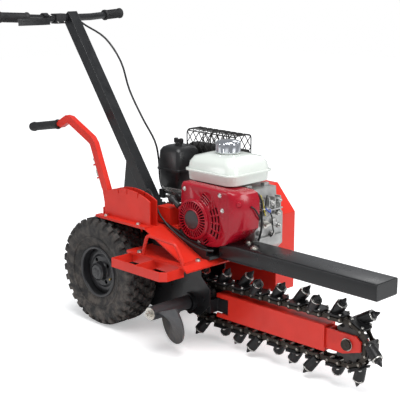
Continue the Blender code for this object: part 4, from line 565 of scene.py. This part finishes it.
# ---- Chain guard, stem and black frame ----
# Box-section guard bolted over the chain, a leaning square stem and the welded chassis under the deck. Satin
# black powder coat that looks grey where the light grazes it, with the paint rubbed at the corners.
black_coat = finish("satin_black_coat", (0.0105, 0.0110, 0.0122), 0.32, coat=0.12, vary=0.14, cloud=7, grain=260,
                    bump=0.02, worn=(0.22, 0.21, 0.20), wear=0.3, edge=0.0025)
# The black engine_bed plate also makes the dark strip between the deck and the engine. That strip is partly shadow,
# so its darkness is partly painted shade.
dress(black_coat, "stem", "chassis_frame", "engine_bed", "axle_frame")
guard_black = finish("guard_black_coat", (0.0085, 0.0088, 0.0098), 0.30, coat=0.12, vary=0.14, cloud=5, grain=260,
                     bump=0.012, edge=0.0065, spec=0.35)
dress(guard_black, "chain_guard")


def bead(name, look, runs, body, radius=0.0026):
    """Weld beads: a rippled round fillet along each run of points."""
    shapes = []
    for run_points in runs:
        path, radii = [], []
        for first, second in zip(run_points, run_points[1:]):
            first, second = Vector(first), Vector(second)
            steps = max(2, int((second - first).length / 0.0028))
            for k in range(steps):
                path.append(first.lerp(second, k / steps))
                radii.append(radius * (1.0 if k % 2 else 0.80))
        path.append(Vector(run_points[-1]))
        radii.append(radius * 0.8)
        shapes.append(pipe(path, radii, 7))
    return piece(name, look, shapes, body)


guard_low, guard_high = corners_of("chain_guard")
stem_low, stem_high = corners_of("stem")
deck_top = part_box("deck_plate")[1][2]
seam = 0.0008
foot_ring = [(stem_high.x - 0.002, stem_low.y - seam), (stem_high.x + seam, stem_low.y - seam),
             (stem_high.x + seam, stem_high.y + seam), (stem_high.x - 0.002, stem_high.y + seam)]
bead("stem_foot_weld", black_coat, [[(x, y, deck_top + 0.0015) for x, y in foot_ring]], "machine", 0.0030)
bead("guard_end_weld", black_coat, [[(guard_high.x - 0.0006, y, z) for y, z in
     ((guard_low.y + 0.004, guard_low.z + 0.003), (guard_low.y + 0.004, guard_high.z - 0.003),
      (guard_high.y - 0.004, guard_high.z - 0.003), (guard_high.y - 0.004, guard_low.z + 0.003))]], "machine", 0.0014)

# ---- Handlebar, grips, squeeze lever and cables ----
# A round steel tube in the same black, with soft ribbed rubber grips, a moulded lever in a clamp, a small
# control box, a black throttle cable down the stem and a second cable past the box.
dress(black_coat, "handlebar", "lever_clamp", "squeeze_lever", angle=40)
grip_look = finish("grip_rubber", (0.016, 0.016, 0.017), 0.60, vary=0.2, cloud=40, grain=1400, bump=0.4, spec=0.4)
dress(grip_look, "grip_near", "grip_far", "lever_grip", angle=50)
black_plastic = finish("black_plastic", (0.017, 0.017, 0.018), 0.40, vary=0.15, cloud=22, grain=1600, bump=0.3,
                       spec=0.45)
dress(black_plastic, "switch_box", "engine_switch", "starter_grip", "drive_belt", angle=36)
cable_look = finish("cable_sheath", (0.012, 0.012, 0.013), 0.42, vary=0.2, cloud=60, grain=1800)
dress(cable_look, "throttle_cable", "stop_cable", angle=60)
bright = finish("bright_steel", (0.60, 0.59, 0.57), 0.26, metal=1.0, vary=0.15, cloud=90, grain=1500, bump=0.1)


def bar_at(y):
    """The handlebar's centre line, which sweeps back and up towards both ends."""
    beyond = max(0.0, abs(y - chain_y) - 0.090)
    return Vector((bar_line[0] - 0.12 * beyond, y, bar_line[1] + 0.05 * beyond))


bar_low, bar_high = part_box("handlebar")
bar_radius, rib_radius, ribs_each, rib_sides = 0.0125, 0.0166, 15, 20
bar_line = (bar_high[0] - bar_radius, bar_low[2] + bar_radius)
ribs = []
for grip_name in ("grip_near", "grip_far"):
    low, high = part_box(grip_name)
    for k in range(ribs_each):
        centre = bar_at(low[1] + (high[1] - low[1]) * (0.16 + 0.66 * k / (ribs_each - 1)))
        turns = [2 * math.pi * step / rib_sides for step in range(rib_sides + 1)]
        ribs.append(pipe([centre + Vector((rib_radius * math.cos(a), 0.0, rib_radius * math.sin(a))) for a in turns],
                         [0.0008] * len(turns), 5))
piece("grip_ribs", grip_look, ribs, "machine", angle=60)
squeeze_high = corners_of("squeeze_lever")[1]
pivot_x, pivot_y = squeeze_high.x - 0.030, squeeze_high.y - 0.008
head_z = middle_of("lever_clamp").z
piece("lever_pivot_screw", bright,
      [lathe([(0, 0.0), (0.0052, 0.0), (0.0052, 0.0030), (0.0040, 0.0042), (0, 0.0042)],
             (pivot_x, pivot_y, head_z + 0.0092), 18, "Z"),
       lathe([(0, -0.0046), (0.0046, -0.0046), (0.0046, 0.0), (0, 0.0)],
             (pivot_x, pivot_y, head_z - 0.0094), 6, "Z")],
      "machine")
box_low, box_high = corners_of("switch_box")
shapes = [lathe([(0, 0.0), (0.0032, 0.0), (0.0028, 0.0012), (0, 0.0016)],
                (box_high.x, box_low.y + k * (box_high.y - box_low.y), box_low.z + 0.006), 14, "X")
          for k in (0.18, 0.82)]
piece("control_box_screws", bright, shapes, "machine")

# ---- Depth lever, quadrants, tray and hoop ----
# Flat bar, notched plates and folded strip in the frame's orange-red coat. The tray and the quadrants are
# welded along their edges, and bolts hold the near quadrant's foot.
dress(red_coat, "depth_lever", "quadrant_near", "quadrant_far", "tool_tray", "lifting_hoop", angle=26)
tray_low, tray_high = corners_of("tool_tray")
bead("tray_welds", red_coat,
     [[(x, tray_high.y - inward, tray_high.z + 0.0008) for inward in (0.020, 0.002)]
      for x in (tray_low.x + 0.003, tray_high.x - 0.003)], "machine", 0.0022)
for name in ("quadrant_near", "quadrant_far"):
    low, high = corners_of(name)
    weld_y, weld_z = (low.y + high.y) / 2 - 0.0028, low.z + 0.0012
    bead(name + "_weld", red_coat, [[(x, weld_y, weld_z) for x in ends] for ends in
         ((low.x + 0.02, low.x + 0.06), (high.x - 0.06, high.x - 0.02))], "machine", 0.0018)

# ---- Fan shroud and recoil starter ----
# Pressed steel sheet in glossy crimson enamel, drawn round the flywheel and rolled back along its front edge, with
# cooling louvres whose pockets are floored with near-black plates, painted shade for the dark inside. The starter
# cover is a spoked ring round a plain black centre disc, with a near-black ring of painted shade behind the spokes.
crimson = finish("crimson_enamel", (0.36, 0.004, 0.016), 0.26, coat=0.30, vary=0.10, cloud=6, grain=600, bump=0.03,
                 spec=0.3)
# A dull near-black that is painted shade: it stands for the dark inside seen through slots and gaps.
slot_black = finish("slot_black", (0.004, 0.004, 0.005), 0.7, vary=0.3, cloud=50, grain=900, spec=0.1)
fan = middle_of("recoil_cover")
shroud_low, shroud_high = corners_of("recoil_shroud")
tank_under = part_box("fuel_tank")[0]
guard_top = guard_high.z + 0.0005
face_y = shroud_low.y


def arc_of(radius, first, last, steps, centre=fan):
    angles = [math.radians(first + (last - first) * k / steps) for k in range(steps + 1)]
    return [(centre.x + radius * math.cos(a), centre.z + radius * math.sin(a)) for a in angles]


def between(first, last, steps):
    return [(first[0] + (last[0] - first[0]) * k / steps, first[1] + (last[1] - first[1]) * k / steps)
            for k in range(1, steps)]


def off_fan(*offsets):
    return [(fan.x + x, fan.z + z) for x, z in offsets]


top_left, top_right = off_fan((-0.056, 0.1125), (0.160, 0.1085))
outline = (off_fan((-0.0625, 0.084), (-0.0615, 0.104)) + [top_left] + between(top_left, top_right, 8) + [top_right]
           + off_fan((0.178, 0.100), (0.187, 0.082), (0.1885, 0.040), (0.1845, -0.012), (0.160, -0.034),
                     (0.125, -0.064), (0.0895, -0.0762), (0.0885, -0.0765), (0.060, -0.0812), (0.030, -0.0800),
                     (0.0, -0.0770)) + arc_of(0.0760, 262, 150, 14)[1:])
middle = Vector((sum(p[0] for p in outline) / len(outline), 0, sum(p[1] for p in outline) / len(outline)))
levels = [(0.0, 0.0075), (0.0008, 0.0050), (0.0025, 0.0028), (0.0055, 0.0010)]
levels += [(depth, 0.0) for depth in (0.0095, 0.020, 0.0362, 0.0366, 0.052, 0.066, 0.082, shroud_high.y - face_y)]
points, count = [], len(outline)
for depth, inset in levels:
    rolled = math.sqrt(max(0.0, 1 - (1 - min(1.0, (depth + 0.004) / 0.084)) ** 2))
    for x, z in outline:
        way = Vector((middle.x - x, 0, middle.z - z)).normalized() * inset
        x, z = x + way.x, z + way.z
        edge_x = fan.x + 0.128
        if x > edge_x:
            x = edge_x + (x - edge_x) * (0.10 + 0.90 * rolled)
        if face_y + depth > tank_under[1] - 0.003:
            z = min(z, tank_under[2] - 0.0005)
        if depth > 0.0192 and x > guard_low.x - 0.0012:
            z = max(z, guard_top)
        points.append(Vector((x, face_y + depth, z)))
faces = [tuple(range(count))[::-1], tuple(range(len(points) - count, len(points)))]
for level in range(len(levels) - 1):
    for k in range(count):
        here, beside = level * count + k, level * count + (k + 1) % count
        faces.append((here, beside, beside + count, here + count))
shroud = piece("fan_shroud", crimson, [(points, faces)], "machine", angle=38)
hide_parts("recoil_shroud")


def arc_slot(radius, first, last, width, front, back):
    outline_slot = arc_of(radius + width / 2, first, last, 6) + arc_of(radius - width / 2, last, first, 6)
    return slab(outline_slot, front, back)


louvres = [(radius, 42, 68, 0.0052) for radius in (0.077, 0.0855, 0.094)]
louvres += [(radius, first, first + 12, 0.0088) for radius in (0.080, 0.0935, 0.107) for first in (18, 3, -12, -27)]
louvres += [(radius, -60, -43, 0.0052) for radius in (0.078, 0.0865)]
cutter = piece("louvre_cutter", slot_black,
               [arc_slot(r, a, b, w, face_y - 0.004, face_y + 0.006) for r, a, b, w in louvres], "machine")
cut = shroud.modifiers.new("louvres", "BOOLEAN")
cut.operation, cut.solver, cut.object = "DIFFERENCE", "EXACT", cutter
bpy.context.view_layer.update()
cut_mesh = bpy.data.meshes.new_from_object(shroud.evaluated_get(bpy.context.evaluated_depsgraph_get()))
shroud.modifiers.clear()
shroud.data = cut_mesh
bpy.data.objects.remove(cutter, do_unlink=True)
# Near-black plates at the bottom of each louvre pocket: painted shade for the dark inside.
piece("louvre_wells", slot_black, [arc_slot(r, a - 0.6, b + 0.6, w + 0.001, face_y + 0.0048, face_y + 0.0070)
                                   for r, a, b, w in louvres], "machine")
raised = [(radius, -31, 34) for radius in (0.0735, 0.1145)] + [(radius, 39, 72) for radius in (0.0712, 0.1005)]
piece("louvre_rims", crimson,
      [pipe([Vector((x, face_y + 0.0002, z)) for x, z in arc_of(radius, a, b, 14)], [0.0011] * 15, 8)
       for radius, a, b in raised], "machine", angle=60)

cover_low, cover_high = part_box("recoil_cover")
front, base = cover_low[1], cover_high[1]
ring_profile = [(0.0570, 0.0), (0.0660, 0.0), (0.0660, -0.0050), (0.0645, -0.0078), (0.0610, -0.0098),
                (0.0575, -0.0104), (0.0566, -0.0085), (0.0570, 0.0)]
hub_profile = [(0.0300, 0.0), (0.0355, 0.0), (0.0358, -0.0110), (0.0345, -0.0134), (0.0318, -0.0140),
               (0.0308, -0.0128), (0.0300, 0.0)]
centre_0 = (fan.x, 0, fan.z)
shapes = [lathe([(r, base + y) for r, y in profile], centre_0, sides)
          for profile, sides in ((ring_profile, 96), (hub_profile, 72))]
spoke_count = 34
spoke = [(0.0345, -0.0014, -0.0130), (0.0462, -0.0018, -0.0124), (0.0585, -0.0022, -0.0100)]
for k in range(spoke_count):
    turn = Matrix.Rotation(-2 * math.pi * k / spoke_count, 3, "Y")
    rib, rib_faces = [], []
    for radius, half_width, high_y in spoke:
        for z, y in ((half_width, high_y + 0.0060), (half_width, high_y + 0.0008), (half_width * 0.55, high_y),
                     (-half_width * 0.55, high_y), (-half_width, high_y + 0.0008), (-half_width, high_y + 0.0060)):
            rib.append(Vector((radius, base + y, z)))
    for row in range(2):
        for corner in range(6):
            here, beside = row * 6 + corner, row * 6 + (corner + 1) % 6
            rib_faces.append((here, beside, beside + 6, here + 6))
    rib_faces += [tuple(range(6)), tuple(range(12, 18))[::-1]]
    shapes.append(shape_of(rib, rib_faces, move=Vector(centre_0), turn=turn))
cover = piece("recoil_ring", crimson, shapes, "machine", angle=35)
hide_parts("recoil_cover")
piece("recoil_centre", finish("recoil_disc", (0.022, 0.020, 0.021), 0.34, coat=0.3, vary=0.15, cloud=30, grain=1200),
      [lathe([(0, front + 0.0006), (0.0200, front + 0.0008), (0.0285, front + 0.0014), (0.0305, front + 0.0030),
              (0.0305, base)], centre_0, 64)], "machine")
# A near-black ring behind the starter spokes: painted shade for the dark space between them.
piece("recoil_screen", slot_black, [lathe([(0.030, base - 0.0040), (0.0590, base - 0.0032), (0.0590, base - 0.0012),
                                           (0.030, base - 0.0012)], centre_0, 48)], "machine")
screws = []
for x, z in ((0.123, 0.048), (-0.044, 0.092), (0.020, -0.0735), (0.112, 0.094)):
    at = (fan.x + x, face_y, fan.z + z)
    screws.append(lathe([(0, -0.0046), (0.0046, -0.0044), (0.0052, -0.0032), (0.0052, -0.0014), (0.0072, -0.0012),
                         (0.0074, 0.0004), (0, 0.0004)], at, 20))
piece("shroud_screws", bright, screws, "machine", angle=40)
grip_low, grip_high = corners_of("starter_grip")
pull = Vector((-0.866, 0, 0.5))
port_end = Vector((grip_high.x - 0.0020, (grip_low.y + grip_high.y) / 2, grip_low.z + 0.0050))
port_line = [port_end - pull * inward for inward in (0.034, 0.004, 0.001, 0.0)]
piece("starter_port", crimson, [pipe(port_line, [0.0095, 0.0095, 0.0088, 0.0070], 24)], "machine")
dress(crimson, "engine_switch", angle=40)

# ---- Fuel tank and cap ----
# Off-white enamelled steel, pressed in two halves and rolled together at a seam, with a chromed scalloped cap
# on a short neck.
enamel = finish("tank_enamel", (0.74, 0.78, 0.73), 0.20, coat=0.7, vary=0.03, cloud=5, grain=500, bump=0.04,
                spec=0.45)
dress(enamel, "fuel_tank", angle=44)
chrome = finish("chrome", (0.70, 0.72, 0.76), 0.09, metal=1.0, vary=0.06, cloud=14, grain=900, bump=0.05)
cap_low, cap_high = corners_of("fuel_cap")
cap_mid, cap_r = (cap_low + cap_high) / 2, (cap_high.x - cap_low.x) / 2
cap_levels = [(cap_low.z, 0.93, 0.0), (cap_low.z + 0.002, 0.985, 0.25), (cap_low.z + 0.005, 1.0, 1.0),
              (cap_high.z - 0.012, 1.0, 1.0), (cap_high.z - 0.008, 0.985, 0.8), (cap_high.z - 0.005, 0.93, 0.35),
              (cap_high.z - 0.0032, 0.84, 0.0), (cap_high.z - 0.0046, 0.74, 0.0), (cap_high.z - 0.0012, 0.62, 0.0),
              (cap_high.z, 0.42, 0.0), (cap_high.z, 0.0, 0.0)]
points, faces, steps = [], [], 120
for z, share, deep in cap_levels:
    for k in range(steps):
        a = 2 * math.pi * k / steps
        reach = cap_r * (share - 0.075 * deep * (0.5 + 0.5 * math.cos(10 * a)) ** 2)
        points.append(Vector((cap_mid.x + reach * math.cos(a), cap_mid.y + reach * math.sin(a), z)))
for level in range(len(cap_levels) - 1):
    for k in range(steps):
        here, beside = level * steps + k, level * steps + (k + 1) % steps
        faces.append((here, beside, beside + steps, here + steps))
faces.append(tuple(range(steps))[::-1])
cap = piece("chrome_cap", chrome, [(points, faces)], "fuel_cap", angle=40)
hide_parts("fuel_cap")
neck_at = (cap_mid.x, cap_mid.y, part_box("fuel_tank")[1][2] - 0.016)
collar_line = [(0.0255, 0.0), (0.0400, 0.0), (0.0385, 0.0016), (0.0290, 0.0040), (0.0262, 0.0060), (0.0255, 0.0060)]
piece("neck_collar", enamel, [lathe(collar_line, neck_at, 60, "Z")], "machine", angle=50)

# ---- Crankcase, cylinder and wiring ----
# Sand-cast aluminium with a machined cover flange, ribs and plated bolts. Coil and switch leads run down the
# front, held in a clip, and the governor rod and carburettor linkage are plated wire and plate.
cast = finish("cast_aluminium", (0.50, 0.50, 0.49), 0.40, metal=0.9, vary=0.22, cloud=26, grain=420, bump=0.7,
              depth=0.0008, worn=(0.75, 0.75, 0.74), wear=0.7)
dress(cast, "crankcase", "cylinder", "carburettor", "crankshaft")
case_front = corners_of("crankcase")[1].x
ribs, bolts = [], []
for y in (0.052, 0.078, 0.104, 0.130, 0.156):
    ribs.append(block((case_front - 0.024, y - 0.0022, guard_top + 0.085), (case_front - 0.0005, y + 0.0022, 0.488)))
ribs.append(block((case_front - 0.020, 0.044, 0.446), (case_front + 0.0015, 0.165, 0.4505)))
ribs.append(block((case_front - 0.030, 0.044, 0.3600), (case_front + 0.0010, 0.165, 0.3650)))
for y, z in ((0.060, 0.470), (0.118, 0.470), (0.152, 0.474), (0.148, 0.432), (0.150, 0.392), (0.060, 0.380),
             (0.118, 0.372)):
    at = (case_front, y, z)
    ribs.append(lathe([(0.0088, -0.010), (0.0088, 0.0010), (0.0, 0.0010)], at, 20, "X"))
    bolts.append(lathe([(0.0, 0.0062), (0.0046, 0.0062), (0.0052, 0.0052), (0.0052, 0.0018)], at, 6, "X"))
    bolts.append(lathe([(0.0, 0.0020), (0.0072, 0.0020), (0.0072, 0.0008), (0.0, 0.0008)], at, 20, "X"))
for y, z, radius in ((0.094, 0.445, 0.0150), (0.127, 0.409, 0.0125)):
    ribs.append(lathe([(radius, -0.012), (radius, 0.0050), (radius - 0.002, 0.0068), (radius * 0.55, 0.0070),
                       (radius * 0.5, 0.0052), (0.0, 0.0052)], (case_front - 0.002, y, z), 36, "X"))
piece("crankcase_ribs", cast, ribs, "machine", bevel=0.0008)
piece("crankcase_bolts", bright, bolts, "machine", angle=25)
lead = finish("lead_black", (0.010, 0.010, 0.011), 0.38, vary=0.2, cloud=60, grain=1500)
lead_blue = finish("lead_blue", (0.010, 0.055, 0.42), 0.36, vary=0.12, cloud=60, grain=1500)
lead_yellow = finish("lead_yellow", (0.62, 0.50, 0.04), 0.36, vary=0.12, cloud=60, grain=1500)


def smooth(corners, steps=7):
    """A Catmull-Rom line through a route's own points."""
    route = [Vector(corners[0])] + [Vector(c) for c in corners] + [Vector(corners[-1])]
    path = []
    for a, b, c, d in zip(route, route[1:], route[2:], route[3:]):
        for k in range(steps):
            t = k / steps
            path.append(0.5 * (2 * b + (c - a) * t + (2 * a - 5 * b + 4 * c - d) * t * t
                               + (3 * b - a - 3 * c + d) * t ** 3))
    return path + [Vector(corners[-1])]


def lead_run(name, look, corners, radius):
    path = smooth(corners)
    return piece(name, look, [pipe(path, [radius] * len(path), 10)], "machine", angle=70)


f = case_front + 0.006
lead_run("coil_lead", lead, [(f - 0.050, 0.052, 0.520), (f - 0.008, 0.050, 0.508), (f + 0.004, 0.056, 0.480),
                             (f + 0.003, 0.056, 0.444), (f + 0.006, 0.054, 0.412), (f + 0.002, 0.052, 0.380),
                             (f - 0.004, 0.050, 0.360)], 0.0036)
lead_run("stop_lead", lead, [(shroud_high.x + 0.001, 0.000, 0.480), (shroud_high.x + 0.006, 0.014, 0.468),
                             (shroud_high.x + 0.005, 0.036, 0.438), (f - 0.002, 0.048, 0.428),
                             (f + 0.002, 0.060, 0.440), (f + 0.001, 0.074, 0.468), (f - 0.002, 0.086, 0.500)],
         0.0026)
lead_run("yellow_lead", lead_yellow, [(f - 0.004, 0.058, 0.505), (f + 0.004, 0.061, 0.478), (f + 0.005, 0.067, 0.452),
                                      (f + 0.002, 0.076, 0.436)], 0.0016)
lead_run("blue_lead", lead_blue, [(f - 0.002, 0.078, 0.462), (f + 0.005, 0.083, 0.452), (f + 0.005, 0.092, 0.446),
                                  (f, 0.100, 0.452)], 0.0019)
lead_run("ground_lead", lead, [(f + 0.002, 0.096, 0.448), (f + 0.006, 0.102, 0.424), (f + 0.004, 0.108, 0.396),
                               (f + 0.005, 0.110, 0.376), (f - 0.004, 0.108, 0.362)], 0.0021)
piece("lead_clip", bright,
      [block((f - 0.008, 0.053, 0.4585), (f + 0.0065, 0.070, 0.4625)),
       block((f - 0.009, 0.068, 0.4550), (f - 0.001, 0.078, 0.4660))], "machine", bevel=0.0006)
dress(zinc, "oil_plug", angle=36)

carb_low, carb_high = corners_of("carburettor")
near_y = carb_low.y
linkage = [block((carb_low.x + 0.030, near_y - 0.0060, 0.438), (carb_low.x + 0.090, near_y - 0.0040, 0.4485)),
           block((carb_low.x + 0.060, near_y - 0.0090, 0.424), (carb_low.x + 0.071, near_y - 0.0070, 0.462)),
           pipe([Vector((carb_low.x + 0.020, near_y - 0.008, 0.459)),
                 Vector((carb_high.x + 0.018, near_y - 0.011, 0.466))], [0.0016, 0.0016], 8),
           lathe([(0, -0.011), (0.0060, -0.0105), (0.0060, -0.004), (0, -0.004)],
                 (carb_low.x + 0.046, near_y, 0.430), 18),
           lathe([(0, -0.009), (0.0042, -0.009), (0.0042, 0.0), (0, 0.0)], (carb_low.x + 0.088, near_y, 0.420), 6)]
spring_radius, turn_step = 0.0034, 1.05
coil = [Vector((carb_low.x + 0.036 + 0.0009 * k, near_y - 0.012 + spring_radius * math.cos(k * turn_step),
                0.4535 + spring_radius * math.sin(k * turn_step))) for k in range(40)]
linkage.append(pipe(coil, [0.0006] * len(coil), 5))
piece("carb_linkage", bright, linkage, "machine", bevel=0.0003)
fuel_hose = smooth([(carb_low.x + 0.012, near_y - 0.004, 0.412), (carb_low.x + 0.024, near_y - 0.014, 0.404),
                    (carb_low.x + 0.060, near_y - 0.016, 0.408), (carb_high.x - 0.006, near_y - 0.012, 0.440),
                    (carb_high.x + 0.012, near_y - 0.010, 0.500)])
carb_black = [pipe(fuel_hose, [0.0038] * len(fuel_hose), 10),
              lathe([(0, -0.018), (0.012, -0.017), (0.0145, -0.012), (0.0145, 0.001), (0, 0.001)],
                    (carb_low.x + 0.105, near_y, 0.436), 28),
              block((carb_low.x + 0.006, near_y - 0.010, 0.420), (carb_low.x + 0.030, near_y + 0.001, 0.450))]
piece("carb_fittings", black_plastic, carb_black, "machine", bevel=0.0008)

# ---- Air cleaner, muffler and cage ----
# A two-part moulded black housing with a rolled lip and wing knob. Behind it, a blackened box muffler under a
# cage of welded crossed wire.
moulded = finish("moulded_black", (0.015, 0.015, 0.016), 0.34, vary=0.14, cloud=14, grain=1100, bump=0.22, spec=0.5)
dress(moulded, "air_cleaner", "air_cleaner_knob", angle=50)
heat_black = finish("heat_black", (0.022, 0.021, 0.020), 0.50, metal=0.4, vary=0.3, cloud=24, grain=700, bump=0.35,
                    worn=(0.20, 0.13, 0.09), wear=0.5)
dress(heat_black, "muffler")
cage_low, cage_high = corners_of("muffler_guard")
wire = 0.0020
low, high = cage_low + Vector((wire, wire, wire)), cage_high - Vector((wire, wire, wire))
side_tall, across, deep = high.z - low.z, high.y - low.y, high.x - low.x
shoulder = 0.014


def on_cage(along, x):
    """A place on the cage, unrolled over its near side, top and far side, with rounded shoulders."""
    if along < side_tall - shoulder:
        return Vector((x, low.y, low.z + along))
    along -= side_tall - shoulder
    quarter = shoulder * math.pi / 2
    if along < quarter:
        a = along / shoulder
        return Vector((x, low.y + shoulder - shoulder * math.cos(a), high.z - shoulder + shoulder * math.sin(a)))
    along -= quarter
    if along < across - 2 * shoulder:
        return Vector((x, low.y + shoulder + along, high.z))
    along -= across - 2 * shoulder
    if along < quarter:
        a = along / shoulder
        return Vector((x, high.y - shoulder + shoulder * math.sin(a), high.z - shoulder + shoulder * math.cos(a)))
    return Vector((x, high.y, high.z - shoulder - (along - quarter)))


wrap = 2 * (side_tall - shoulder) + (across - 2 * shoulder) + shoulder * math.pi
wires = []
for way in (1, -1):
    for k in range(-9, 10):
        first = low.x + deep / 2 + k * 0.0285 - way * wrap * 0.36
        run_points = []
        for step in range(61):
            along = wrap * step / 60
            x = first + way * along * 0.72
            if low.x <= x <= high.x:
                run_points.append(on_cage(along, x))
        if len(run_points) > 3:
            wires.append(pipe(run_points, [wire * 0.80] * len(run_points), 7))
for x in (low.x, low.x + deep / 2, high.x):
    loop = [on_cage(wrap * step / 48, x) for step in range(49)]
    wires.append(pipe(loop, [wire] * 49, 8))
for along in (0.0, side_tall - 0.004, wrap / 2, wrap - side_tall + 0.004, wrap):
    wires.append(pipe([on_cage(along, low.x), on_cage(along, high.x)], [wire, wire], 8))
cage = piece("muffler_cage", heat_black, wires, "machine", angle=60)
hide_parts("muffler_guard")
